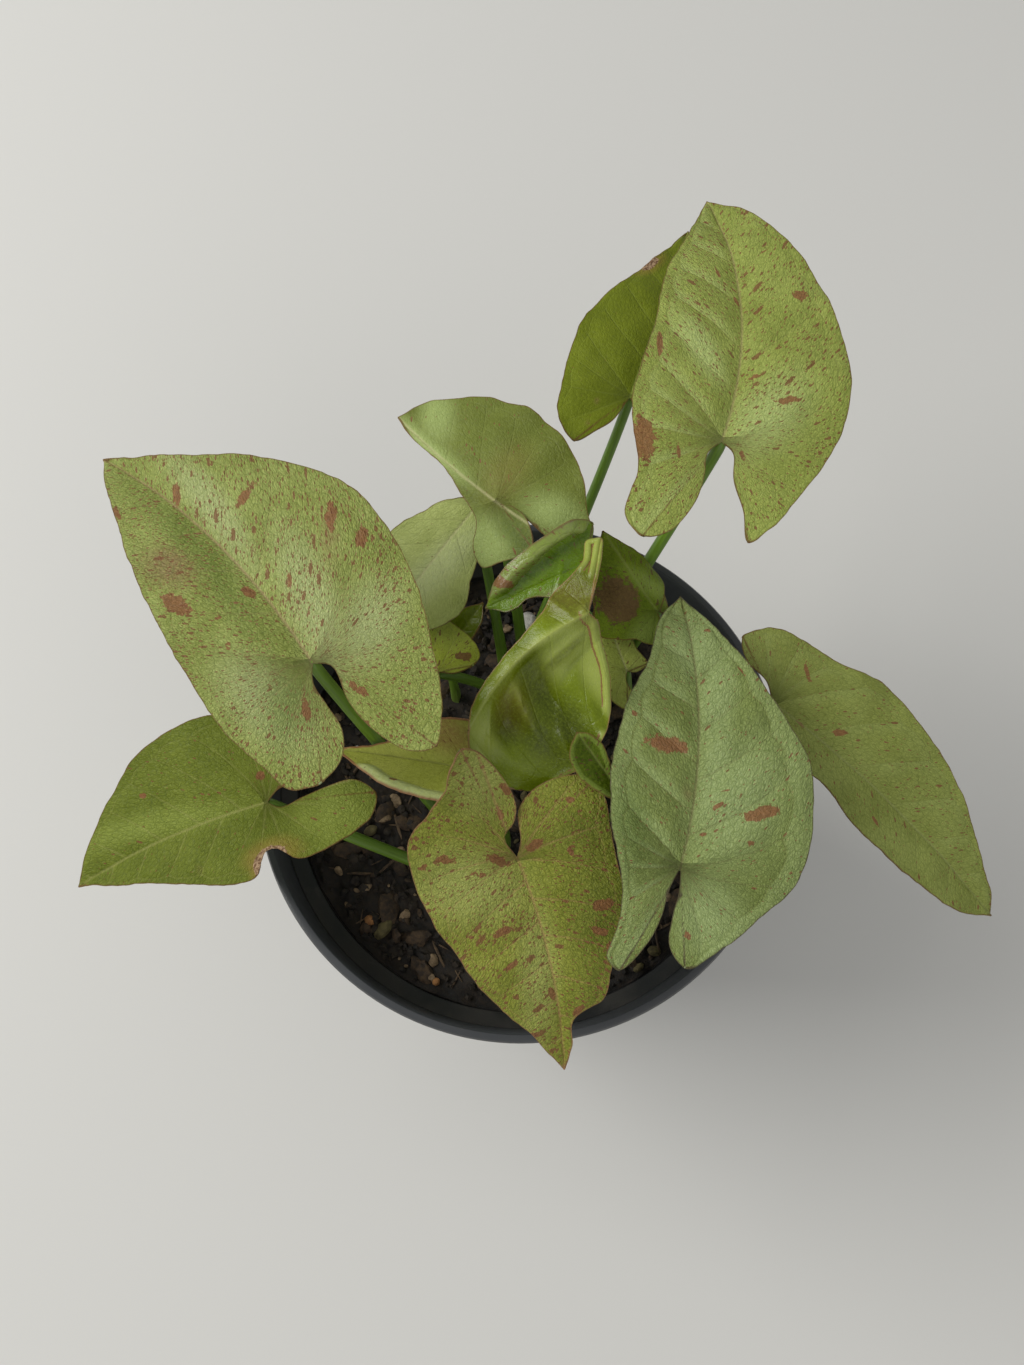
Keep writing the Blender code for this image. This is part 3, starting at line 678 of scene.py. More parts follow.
FOLDED = BladeFinish(Slot.SAGE, (0.15, 0.18, 0.03), (0.108, 0.128, 0.015), (0.30, 0.38, 0.12),
                     pale=(0.34, 0.42, 0.14), flecks=0.08, net_show=0.35, side_show=0.04,
                     warm=(0.17, 0.155, 0.03))
BLOTCHED = BladeFinish(Slot.SAGE, (0.42, 0.47, 0.10), (0.31, 0.36, 0.06), (0.30, 0.38, 0.12),
                       pale=(0.34, 0.4, 0.12), flecks=0.2, net_show=0.35, side_show=0.06)
OLIVE = BladeFinish(Slot.OLIVE, (0.148, 0.177, 0.02), (0.105, 0.132, 0.01), (0.24, 0.3, 0.10),
                    pale=(0.23, 0.275, 0.05), rib=(0.27, 0.27, 0.08), flecks=0.08, side_show=0.3,
                    rib_show=0.6, net_show=0.8, net_depth=0.16, gloss=0.12, rib_depth=0.02)
FAR = BladeFinish(Slot.OLIVE, (0.25, 0.285, 0.068), (0.192, 0.22, 0.042), (0.24, 0.3, 0.10),
                  pale=(0.30, 0.35, 0.12), rib=(0.26, 0.28, 0.10), flecks=0.18, side_show=0.1, painted_crescent_light=0.25,
                  net_show=0.7, net_depth=0.12)
BEHIND = BladeFinish(Slot.OLIVE, (0.165, 0.20, 0.012), (0.12, 0.15, 0.007), (0.22, 0.29, 0.06),
                     rib=(0.25, 0.29, 0.07), flecks=0.04, net_show=0.3, gloss=0.12)
# LOW is the leaf's colour made lighter, as painted light that offsets the shade that the leaves above cast on
# it.
LOW = BladeFinish(Slot.OLIVE, (0.42, 0.48, 0.05), (0.33, 0.38, 0.034), (0.3, 0.36, 0.08),
                  pale=(0.38, 0.43, 0.08), flecks=0.3, net_show=0.35)
INNER = BladeFinish(Slot.OLIVE, (0.13, 0.18, 0.007), (0.075, 0.112, 0.003), (0.24, 0.3, 0.10),
                    pale=(0.24, 0.31, 0.06), rib=(0.2, 0.23, 0.06), fleck=(0.115, 0.062, 0.026),
                    warm=(0.10, 0.075, 0.025), flecks=0.3, side_show=0.06, gloss=0.1)
# SHED's ground is likewise made lighter, as painted light that offsets the shade that the leaves above cast
# on it.
SHED = BladeFinish(Slot.OLIVE, (0.40, 0.42, 0.08), (0.30, 0.33, 0.04), (0.4, 0.46, 0.15),
                   pale=(0.50, 0.56, 0.24), warm=(0.30, 0.15, 0.055), rib=(0.3, 0.3, 0.1), flecks=0.05,
                   net_show=0.25, margin=(0.28, 0.10, 0.055), margin_width=0.4, side_show=0.0)
FRESH = BladeFinish(Slot.FRESH, (0.158, 0.207, 0.006), (0.11, 0.148, 0.003), (0.30, 0.36, 0.10),
                    pale=(0.33, 0.38, 0.085), deep=(0.42, 0.42, 0.3), warm=(0.14, 0.12, 0.015),
                    rib=(0.29, 0.32, 0.08), fleck=(0.21, 0.10, 0.04), flecks=0.0,
                    margin=(0.26, 0.14, 0.06), roughness=0.2, net_show=0.2, net_depth=0.03,
                    side_show=0.08, gloss=0.24, rib_depth=0.05)
ROLLED = BladeFinish(Slot.FRESH, (0.158, 0.265, 0.007), (0.112, 0.20, 0.0045), (0.30, 0.36, 0.12),
                     pale=(0.21, 0.24, 0.065), deep=(0.5, 0.55, 0.4), rib=(0.16, 0.24, 0.02), flecks=0.15,
                     margin=(0.16, 0.10, 0.04), roughness=0.2, net_show=0.2, net_depth=0.03,
                     side_show=0.03, rib_show=0.2, gloss=0.35)
GREY = BladeFinish(Slot.GREY, (0.44, 0.49, 0.16), (0.335, 0.385, 0.10), (0.33, 0.38, 0.2),
                   pale=(0.52, 0.57, 0.27), flecks=0.03, net_show=0.3, side_show=0.08)


@dataclass(frozen=True)
class Venation:
    """How the side veins of a blade run.

    spacing is between veins along the midrib, slope and bend turn them towards the tip, fan is the
    angle between the veins that spread into the lobes, quilt is how far the panels between them
    bulge, collector is where the collecting vein lies between midrib and margin, and groove is how
    deep the midrib lies.
    """

    spacing: float = 9.5
    slope: float = 0.75
    bend: float = 0.008
    fan: float = 27.0
    quilt: float = 0.4
    collector: float = 0.83
    groove: float = 0.45


@dataclass(frozen=True)
class Leaf:
    """One leaf with its stalk; the shape's numbers mean what they do in the part's source.

    spots are reddish patches, stains are soft brownish ones and dead are withered places, all as
    ovals: (along, to the left, half length, half width, turn). lights and shades are wide soft ovals
    of painted highlight and painted shade, mostly paler and deeper green where folds and bends catch
    or lose the light, with a few paler or darker patches of leaf colour; warms are wide soft ovals of
    browner green. bands are pale strips along the margin inside an oval, where the margin rolls over:
    their last numbers are the strip's width, how high it rolls, and how red its inner edge is. dents
    push the blade up or down inside an oval by their last number, and creases do so along a sharp line.
    """

    name: str
    base: Place
    heading: float
    dip: float
    bend: float
    sweep: float
    length: float
    left: Marks
    right: Marks
    ends: tuple[int, int]
    foot: Pair
    fold: Pair = (8, 8)
    curl: Pair = (-16, -16)
    power: Pair = (1, 1)
    width: Pair = (22, 22)
    lobe: Pair = (8, 8)
    wave: tuple[float, float, float] = (0.8, 3, 0.0)
    stalk: float = 1.6
    lean: Pair = (0.7, 0.7)
    finish: BladeFinish = SPECKLED
    veins: Venation = Venation()
    spots: Marks = ()
    stains: Marks = ()
    dead: Marks = ()
    lights: Marks = ()
    shades: Marks = ()
    warms: Marks = ()
    bands: Marks = ()
    dents: Marks = ()
    creases: Marks = ()

    @property
    def fineness(self) -> int:
        """How finely the blade is divided: most in the young creased leaves, least in small ones."""
        if self.length > 45:
            return 8
        return 10 if self.finish in (FRESH, ROLLED) else 6


# In the leaves below, lights and shades are mostly painted highlight and painted shade where folds and bends
# catch or lose the light, with a few paler or darker patches of leaf colour.
LEAVES = (
    Leaf("leaf_left_speckled", (-42.5, 10, 172), 123, 2, 18, 24, 75,
         ((-4, 2), (-9, 2), (-15, 2), (-20, 5), (-22, 11), (-20, 17), (-14, 19), (-3, 22), (15, 22),
          (36, 19), (57, 11), (70, 4)),
         ((-3, -3), (-11, -2), (-18, -3), (-26, -7), (-28, -12), (-22, -17), (-14, -21), (0, -26),
          (16, -29), (27, -28), (39, -22), (53, -12), (67, -4)),
         (4, 4), (-11, -20), fold=(8, 12), curl=(-18, -22), width=(36, 36), lobe=(12, 12),
         wave=(1.0, 3, 0.1), lean=(0.35, 0.94), finish=SPECKLED,
         veins=Venation(spacing=13, quilt=0.22, groove=0.7),
         spots=((29, 15, 4, 2, 15), (51, -2, 3, 1, 135), (38, -11, 3.5, 1, 100), (22, -21, 3, 1.2, 140),
                (15, -23, 2, 1.2, 130), (21, 2, 2, 1, 15), (59, 9, 2, 0.7, 160), (17, -6, 1.5, 0.6, 145),
                (-10, -5, 3, 0.8, 25), (-8, 6, 3, 0.8, 160), (20, 10, 1, 0.5, 90), (13, 12, 1.5, 0.6, 150)),
         stains=((19, -18, 12, 4, 145), (39, 9, 7, 3, 10)),
         lights=((10, -7, 16, 5, 165), (42, -5, 16, 3.5, 170), (0, -14, 9, 6, 120), (-2, 12, 12, 6, 10)),
         shades=((36, 4, 26, 3.5, 175), (-6, 9, 7, 5, 150)), warms=((38, 11, 7, 4, 10),)),
    Leaf("leaf_lower_left", (-56.5, -13, 140), -166, 10, 16, 13, 51.5,
         ((-3, 2), (-8, 1), (-14, 0), (-20, 0), (-24, 4), (-23, 8), (-17, 12), (-10, 14), (-4, 14),
          (-1, 11), (3, 11), (5, 15), (10, 16), (22, 12), (38, 6)),
         ((-3, -2), (-7, -3), (-9, -7), (-6, -14), (1, -20), (9, -23), (17, -23), (26, -20),
          (34, -15), (44, -7)),
         (4, 2), (-12, -27), curl=(-12, -14), width=(22, 28), lobe=(10, 10), wave=(0.7, 3, 0.3),
         finish=OLIVE, veins=Venation(spacing=10, quilt=0.3),
         spots=((0, -6, 1.3, 1, 0), (27, -11, 1, 0.6, 140)),
         stains=((19, 10, 2, 1.5, 120), (0, -6, 2, 1.8, 0), (5, 13, 5, 3, 110)),
         dead=((1, 12.0, 3.8, 2.0, 0), (4.5, 13.5, 2.4, 1.4, 70)),
         lights=((-16, 6, 10, 6, 0), (26, -4, 18, 3, 170))),
    Leaf("leaf_front_speckled", (-1, -26.5, 150), -67, 15, 22, -20, 50.5,
         ((-3, 2), (-9, 4), (-12, 9), (-12, 16), (-9, 22), (-4, 22), (6, 20), (16, 19), (23, 18),
          (27, 13), (34, 10), (38, 3), (45, 2)),
         ((-5, -1), (-7, 2), (-11, 4), (-19, 3), (-27, 0), (-30, -3), (-27, -6), (-21, -9), (-17, -14),
          (-13, -20), (-5, -22), (9, -21), (29, -14), (41, -6), (46, -3)),
         (4, 5), (-3, -32), fold=(6, 6), curl=(-14, -12), width=(28, 28), lobe=(14, -34),
         wave=(0.9, 3, 0.5), finish=FRONT, veins=Venation(spacing=9, slope=0.35, quilt=0.3),
         spots=((-6, -14, 2.5, 1, 60), (-6, -19, 1.5, 0.7, 65), (0, -9, 1.8, 0.7, 60),
                (-1, -4, 3, 1.1, 50), (-1, 4.5, 2.5, 1, 95), (14, -8, 2.5, 1, 95), (22, -8, 2, 0.7, 105),
                (31, -1, 1.7, 0.7, 10), (15, 14, 2.5, 1.2, 85), (20, 12, 2, 0.8, 60), (24, 14, 1.5, 1.2, 45),
                (36, 4, 1.8, 0.8, 135), (40, -6, 1, 0.5, 65), (13, -15, 1, 0.5, 90), (3, 11, 1, 0.6, 25),
                (-7, 15, 1, 0.7, 70), (-15, 3, 2, 0.8, 25), (-10, 0, 2, 0.7, 0)),
         lights=((2, -12, 12, 8, 60), (26, -3, 14, 4, 170), (-21, -1, 10, 7, 0)),
         shades=((0, 17, 9, 4, 90), (18, 13, 18, 6, 165)),
         creases=((-13, -2, 9, 1.4, 75, -0.5),)),
    Leaf("leaf_right_centre", (32.5, -29.5, 157), 73, 3, 10, 28, 63,
         ((-5, 1), (-11, 1), (-16, 2), (-24, 6), (-22, 9), (-16, 9), (-6, 11), (5, 16), (20, 18),
          (35, 16), (48, 10), (59, 5)),
         ((-5, -1), (-10, -1), (-16, -2), (-19, -6), (-15, -11), (-4, -19), (4, -24), (12, -25),
          (23, -24), (33, -19), (44, -12), (55, -5)),
         (3, 3), (31, -12), curl=(-18, -22), width=(24, 34), lobe=(38, 12), wave=(1.0, 4, 0.2),
         finish=SAGE, veins=Venation(spacing=11.5, slope=0.62, quilt=0.85, collector=0.76, groove=0.4),
         spots=((26, 7, 4.5, 2, 90), (14, -14, 4.5, 1.2, 110), (8, -13, 1.1, 0.6, 95),
                (14, -5, 1.5, 0.5, 125), (17, -6, 1.2, 0.4, 120), (8, -3, 1, 0.5, 115),
                (22, -3, 0.8, 0.4, 110), (33, 14, 1, 0.6, 50), (-13, -5, 0.9, 0.6, 55),
                (53, -4, 0.8, 0.5, 80), (43, -10, 1.6, 0.3, 35)),
         stains=((16, 1.5, 3, 2, 25),),
         lights=((39, -4, 14, 4, 175), (20, -4, 14, 3.5, 175), (16, -9, 13, 8, 160), (-8, -8, 8, 6, 30),
                 (50, -1, 9, 6, 0)),
         shades=((6, 12, 10, 4, 15),)),
    Leaf("leaf_far_right", (57, 10, 140), -37, 7, 18, -9, 73,
         ((-4, 3), (-10, 4), (-14, 8), (-11, 13), (-3, 16), (6, 17), (18, 20), (33, 18), (46, 14),
          (60, 7), (69, 3)),
         ((-2, -5), (-3, -12), (1, -17), (9, -14), (16, -8), (30, -10), (43, -10), (58, -8), (67, -5)),
         (2, 2), (38, 0), fold=(10, 10), curl=(-24, -20), width=(26, 24), lobe=(12, 12),
         wave=(0.7, 4, 0.6), finish=FAR, veins=Venation(spacing=12, quilt=0.4),
         spots=((2.5, 10, 3, 0.5, 145), (16, 4, 2, 0.8, 45), (8, 0, 1.6, 0.4, 170), (35, -6, 1.6, 0.4, 165))),
    Leaf("leaf_tall_back", (42.5, 59, 172), 70, 2, 16, 38, 70.5,
         ((-4, 2), (-9, 1), (-15, 1), (-23, 4), (-26, 9), (-23, 14), (-12, 15), (2, 21), (24, 20),
          (46, 16), (64, 5)),
         ((-2, -3), (-8, -5), (-14, -9), (-20, -12), (-17, -15), (-5, -20), (10, -24), (18, -24),
          (34, -20), (47, -15), (63, -7)),
         (4, 3), (14, 25), fold=(10, 10), curl=(-18, -20), width=(28, 30), lobe=(10, 14),
         wave=(1.0, 4, 0.0), lean=(0.45, 0.9), finish=TALL,
         veins=Venation(spacing=12, quilt=0.5, groove=0.6),
         spots=((-6, 16, 5.4, 2.6, 15), (21, 18, 3.7, 0.7, 5), (45, 4.5, 1.8, 0.4, 15), (37, 1, 1.6, 0.4, 15),
                (17, -4, 2, 0.6, 120), (12, -11, 2.4, 0.9, 100), (37, -13, 1.7, 1.3, 90),
                (18, -23, 0.8, 0.5, 20), (-6, 8, 1.7, 0.5, 25), (-2, -5, 1.6, 0.5, 40), (12, 6, 1, 0.4, 120),
                (63, 3, 0.9, 0.5, 70), (50, -7, 1.3, 0.3, 105)),
         lights=((8, -8, 10, 6, 150), (22, 9, 9, 3, 30))),
    Leaf("leaf_behind", (25.5, 81, 150), 72, 4, 16, 0, 57,
         ((-7, 2), (-11, 5), (-15, 9), (-11, 14), (-4, 16), (13, 17), (25, 14), (39, 7)),
         ((-3, -3), (-4, -8), (3, -14), (18, -13), (37, -10)),
         (2, 1), (3, 36), lobe=(10, 10), wave=(0.6, 3, 0.4), stalk=1.45, lean=(0.5, 0.87),
         finish=BEHIND, veins=Venation(spacing=11, quilt=0.3),
         stains=((-4, 7, 1.6, 1.2, 0), (-10, 7.5, 1.6, 1.0, 0)), dead=((40, 6, 3, 1.2, 155),)),
    Leaf("leaf_back_folded", (-5.5, 51, 158), 139, 9, 8, -12, 35,
         ((-3, -1.2), (-8, -0.8), (-13, 4), (-9, 10), (-4, 14), (-1, 12), (2, 6), (9, 3), (17, 1), (27, 1)),
         ((-7, -1), (-14, -1), (-20, -3), (-21, -7), (-16, -12), (-7, -19), (5, -22), (15, -21),
          (24, -16), (32, -8)),
         (2, 2), (1, 29.5), fold=(-25, 8), curl=(-20, -10), width=(16, 24), lobe=(-10, 16), stalk=1.5,
         finish=FOLDED, veins=Venation(spacing=10, quilt=0.15),
         spots=((1.5, -6, 1, 0.3, 135),), stains=((1, -6, 2.5, 1.2, 135), (0, -3, 3, 1.5, 35)),
         lights=((-3, 9, 8, 6, 20), (22, 0, 13, 2.2, 0), (-12, -6, 7, 4, 20), (28, -7, 7, 4, 150)),
         shades=((-9, 4, 7, 3.0, 160),), warms=((3, -7, 7, 5, 100),),
         creases=((-5, 7, 7, 1.0, 155, 0.8), (14, -2.2, 16, 0.8, 0, -0.5))),
    Leaf("leaf_back_pale", (-10.5, 56, 144), -130, 9, 14, 0, 35.5,
         ((3, 4), (7, 7), (12, 9), (19, 12), (25, 12), (32, 7)),
         ((0, -3), (4, -7), (8, -9), (16, -12), (25, -11), (31, -8)),
         (0, 0), (-4, 28), fold=(-6, 4), curl=(-8, -12), width=(14, 18), lobe=(0, 0), stalk=1.4,
         finish=GREY, veins=Venation(spacing=7, quilt=0.1), lights=((18, 2, 16, 4, 170),)),
    Leaf("leaf_low_left", (-19.5, 19, 133), 127, 12, 14, 0, 27.5,
         ((-2, 1), (-6, 3), (-9, 5), (-10, 8), (-6, 11), (6, 10), (18, 7)),
         ((-3, -3), (-4, -7), (-3, -10), (2, -11), (10, -10), (19, -9)),
         (3, 1), (-3, 21), fold=(5, 5), curl=(-12, -12), width=(14, 16), stalk=1.4,
         finish=LOW, veins=Venation(spacing=6.5, quilt=0.2), spots=((-1, -7, 2.5, 1, 45),),
         lights=((8, -8, 6, 4, 0),)),
    Leaf("leaf_centre_crumpled", (14, 22.5, 166), -158, 7, 8, 42, 36,
         ((-1, 2), (0, 8), (1, 14), (5, 20), (13, 25), (24, 26.5), (33, 26), (42, 22), (48, 16),
          (45, 9), (40, 2)),
         ((-2, -3), (-5, -7), (-8, -12), (-9, -15), (-6, -16), (-4, -12), (-1, -10), (4, -8),
          (9, -5), (17, -3), (27, -2), (33, -1)),
         (0, 3), (9, 15.5), fold=(-45, -10), curl=(62, 0), width=(31, 16), lobe=(0, 0),
         wave=(0.4, 3, 0.0), finish=FRESH, veins=Venation(spacing=9, slope=0.5, quilt=0.15, groove=-0.7),
         # The narrow lights and shades here are painted highlight streaks and painted shade along the
         # creases.
         lights=((10, 0.3, 13, 1.2, 175), (8, 5, 10, 4, 15), (4, 12, 8, 4, 80), (37, 4, 6, 4, 30),
                 (25.3, 8.3, 5, 0.9, 59), (8, 3.5, 9, 0.8, 8), (11, 6.6, 7, 0.8, 15)),
         shades=((19, 8, 9, 4, 65), (22, 18, 9, 6, 60), (30, 8, 5, 4, 20), (2, -8, 13, 5, 130),
                 (30, 18, 12, 6, 70), (28, 7, 5, 1.5, 59), (9.5, 5.1, 9, 0.8, 10)),
         warms=((4, -8, 12, 5, 130), (27, 6, 6, 4, 40)),
         bands=((1, 12, 16, 9, 80, 2.2, 0.7, 0.9), (30, 26, 20, 5, 0, 1.0, 0.3, 0.8),
                (-6, -12, 9, 5, 120, 1.4, 0.5, 0.6)),
         dents=((19, 9, 8, 4, 70, -1.8), (30, 8, 5, 4, 20, -2.6), (38, 12, 7, 4, 70, 0.8),
                (12, 19, 8, 3, 75, 0.9), (3, -7, 9, 3, 140, -1.0)),
         creases=((25.3, 8.3, 7, 1.5, 59, 2.2), (16.5, 8, 8, 1.8, 70, -1.6), (10, 5.5, 9, 0.9, 8, 0.9),
                  (8, 9, 9, 1.0, 20, -0.7), (34, 4, 6, 1.2, 25, 1.3), (35, 9, 6, 1.2, 60, -1.0),
                  (26, 20, 10, 1.6, 40, 0.9), (5, -5, 7, 1.0, 110, 0.8), (20, 2.5, 7, 1.0, 5, -0.8))),
    Leaf("leaf_rolled", (14.5, 37, 157), -158, 6, 6, 0, 24.5,
         ((-1, 3), (2.5, 5), (9.5, 4), (14.5, 2), (19.5, 3)),
         ((-2, -3), (-4, -8), (0, -12), (6.5, -11), (13.5, -8), (19.5, -5), (22.5, -2)),
         (0, 1), (10, 32), fold=(-10, 20), curl=(30, 95), power=(1, 1.6), width=(10, 14), lobe=(0, 0),
         wave=(0, 1, 0), stalk=1.4, lean=(0.05, 1), finish=ROLLED, veins=Venation(spacing=7, quilt=0.1),
         spots=((19, -4, 2.5, 1.3, 145),),
         bands=((10, -9.5, 20, 6.5, 18, 4.2, 1.8, 0.0),),
         # The light is a painted highlight inside the trough, and the shade a painted shade line under the
         # rolled strip.
         lights=((9, 3.2, 10, 1.2, 0),), shades=((9, -3.6, 12, 1.2, 15),),
         creases=((6, -1, 7, 1.2, 60, 0.7),)),
    Leaf("leaf_behind_centre", (31, 29.5, 146), 126, -14, -4, 0, 22,
         ((-3, 1), (-7, 3), (-5, 6), (-2, 8), (0, 11), (3, 14), (8, 12), (14, 9), (19, 4.5)),
         ((-2, -3), (2, -5), (5, -8), (9, -8), (14, -6), (19, -2)),
         (1, 1), (22, 21), fold=(-10, -30), curl=(-10, -20), width=(14, 8), lobe=(0, 0),
         wave=(0, 1, 0), stalk=1.4, finish=INNER, veins=Venation(spacing=6, quilt=0.15),
         spots=((7.5, 6.0, 5.4, 4.6, 5),),
         lights=((-3, 6, 5, 3, 120), (4, -4, 8, 2.5, 30))),
    Leaf("leaf_left_folded", (-7, -8, 148.5), 168, 3, 6, 4, 35,
         ((-1, 4), (2, 9), (9, 10), (18, 9), (27, 5)),
         ((0, -5), (2, -10), (7, -11), (13, -10), (19, -5), (26, -2)),
         (1, 1), (-4, -17), fold=(18, 22), curl=(20, 14), width=(11, 12), lobe=(0, 0),
         wave=(0, 1, 0), stalk=1.4, finish=SHED, veins=Venation(spacing=8, quilt=0.1),
         spots=((19.5, 6.5, 1, 0.7, 10),), warms=((14, -8, 13, 4, 165),),
         bands=((16, 8, 22, 6, 0, 2.4, 0.9, 0.0),)),
    Leaf("leaf_small_front", (22, -14.5, 152), 129, -22, -4, 0, 18,
         ((2, 2), (6, 4), (11, 5), (16, 4)),
         ((2, -1), (6, -1), (9, -2), (13, -3), (16, -2)),
         (0, 0), (24, -9), fold=(6, 6), curl=(-8, -8), width=(9, 9), wave=(0, 1, 0), stalk=1.2,
         finish=INNER, veins=Venation(spacing=5, quilt=0.15), bands=((10, 0, 14, 8, 0, 0.9, 0.2, 0.0),),
         shades=((12, 1, 8, 4, 0),)),
    Leaf("leaf_small_blotched", (24.5, 18, 137), 112, -17, 0, 0, 18.5,
         ((-2, 1), (-6, 0.5), (-8, 3), (-5, 6), (0, 5), (9, 4), (15, 3)),
         ((-1, -2), (0, -5), (4, -4), (8, -4), (13, -5), (17, -4)),
         (2, 1), (27, 4), fold=(6, 6), curl=(-8, -8), width=(8, 8), wave=(0, 1, 0), stalk=1.2,
         finish=BLOTCHED, veins=Venation(spacing=5, quilt=0.15)),
    Leaf("leaf_small_low", (-18, 29, 116), 52, -24, 6, 0, 15,
         ((1, 3), (5, 4), (11, 3)),
         ((1, -2), (5, -3), (11, -3)),
         (0, 0), (-17, 23), fold=(10, 10), curl=(0, 0), width=(6, 6), wave=(0, 1, 0), stalk=1.2,
         finish=FRESH, veins=Venation(spacing=4, quilt=0.1)),
)


def direction(heading: Points, dip: Points) -> Points:
    """Unit vectors that point along headings, dipping below level."""
    heading, dip = np.broadcast_arrays(np.radians(heading), np.radians(dip))
    return np.stack([np.cos(heading) * np.cos(dip), np.sin(heading) * np.cos(dip), -np.sin(dip)], -1)


def running(values: Points, step: float) -> Points:
    """The running integral of values, from zero."""
    steps = (values[1:] + values[:-1]) / 2 * step
    return np.concatenate([np.zeros_like(values[:1]), np.cumsum(steps, 0)])


def smooth_through(points: list[Pair], steps: int) -> Points:
    """A centripetal Catmull-Rom curve through flat points.

    Args:
        points: Pairs of numbers.
        steps: Points to each span.

    Returns:
        The curve's points.
    """
    points = np.array(points, float)
    whole = np.vstack([2 * points[0] - points[1], points, 2 * points[-1] - points[-2]])
    curve = []
    for a, b, c, d in zip(whole[:-3], whole[1:-2], whole[2:-1], whole[3:]):
        t = np.cumsum([0] + [np.linalg.norm(q - p) ** 0.5 for p, q in ((a, b), (b, c), (c, d))])
        s = np.linspace(t[1], t[2], steps, endpoint=False)[:, None]
        ab = (a * (t[1] - s) + b * (s - t[0])) / (t[1] - t[0])
        bc = (b * (t[2] - s) + c * (s - t[1])) / (t[2] - t[1])
        cd = (c * (t[3] - s) + d * (s - t[2])) / (t[3] - t[2])
        abc = (ab * (t[2] - s) + bc * (s - t[0])) / (t[2] - t[0])
        bcd = (bc * (t[3] - s) + cd * (s - t[1])) / (t[3] - t[1])
        curve.append((abc * (t[2] - s) + bcd * (s - t[1])) / (t[2] - t[1]))
    return np.vstack(curve + [points[-1:]])


def spaced(curve: Points, count: int, ease: float = 1.0) -> Points:
    """count + 1 points along a flat curve, closer at its start with ease over 1."""
    run = np.concatenate([[0], np.cumsum(np.linalg.norm(np.diff(curve, axis=0), axis=1))])
    return interpolated(run[-1] * np.linspace(0, 1, count + 1) ** ease, run, curve)


class Surface:
    """The curved middle surface of one leaf, as a map from its flat outline to space.

    LONGEST and WIDEST say how far its lines run, as shares of the leaf's length and width, and
    LOBE_SHARE is the share of the length in which a lobe turns by its angle.
    """

    STEPS = 400
    LONGEST = 1.3
    WIDEST = 1.6
    LOBE_SHARE = 0.4

    def __init__(self, leaf: Leaf) -> None:
        """Works out the midrib's line, the lobes' lines and the two cross sections."""
        self.leaf = leaf
        base = np.array(leaf.base, float)
        self.along = np.linspace(0, self.LONGEST, self.STEPS)
        step = (self.along[1] - self.along[0]) * leaf.length
        self.ahead = direction(leaf.heading + leaf.sweep * self.along, leaf.dip + leaf.bend * self.along)
        self.spine = base + running(self.ahead, step)
        self.behind = [direction(leaf.heading, leaf.dip - turn * self.along / self.LOBE_SHARE)
                       for turn in leaf.lobe]
        self.back = [base - running(way, step) for way in self.behind]
        self.across = np.linspace(0, self.WIDEST, self.STEPS)
        self.section = []
        for side in (0, 1):
            angle = np.radians(leaf.fold[side] + leaf.curl[side] * self.across ** leaf.power[side])
            step = (self.across[1] - self.across[0]) * leaf.width[side]
            self.section.append((running(np.cos(angle), step), running(np.sin(angle), step)))

    def along_spine(self, share: Points, front: Points, rear: Points) -> Points:
        """Vectors of the midrib's line, or of the line that a lobe follows behind the base.

        Args:
            share: Places along the leaf as shares of its length, below 0 in the lobes.
            front: The midrib's vectors.
            rear: The lobe's.

        Returns:
            One vector for each place.
        """
        ahead = interpolated(share, self.along, front)
        behind = interpolated(-share, self.along, rear)
        return np.where((share < 0)[:, None], behind, ahead)

    def at(self, flat: Points, side: int) -> tuple[Points, Points]:
        """Points and upward normals of one half.

        Args:
            flat: Points of the flat outline.
            side: 0 for the left half, 1 for the right.

        Returns:
            The points in space, and unit vectors that stand on the upper face there.
        """
        leaf = self.leaf
        share, sideways = flat[:, 0] / leaf.length, flat[:, 1]
        sign = 1 - 2 * side
        middle = self.along_spine(share, self.spine, self.back[side])
        forward = unit(self.along_spine(share, self.ahead, self.behind[side]))
        left = unit(np.cross((0, 0, 1), forward))
        up = np.cross(forward, left)
        outward, crossed = np.clip(sideways * sign, 0, None), np.clip(sideways * sign, None, 0)
        reach = outward / leaf.width[side]
        out = np.interp(reach, self.across, self.section[side][0]) + crossed
        rise = np.interp(reach, self.across, self.section[side][1])
        size, count, start = leaf.wave
        phase = 2 * np.pi * (count * share + start + 0.3 * side)
        rise = rise + size * np.clip(reach, 0, 1) ** 2 * np.sin(phase)
        tilt = np.radians(leaf.fold[side] + leaf.curl[side] * np.clip(reach, 0, None) ** leaf.power[side])
        normal = up * np.cos(tilt)[:, None] - left * (sign * np.sin(tilt))[:, None]
        return middle + left * (sign * out)[:, None] + up * rise[:, None], unit(normal)


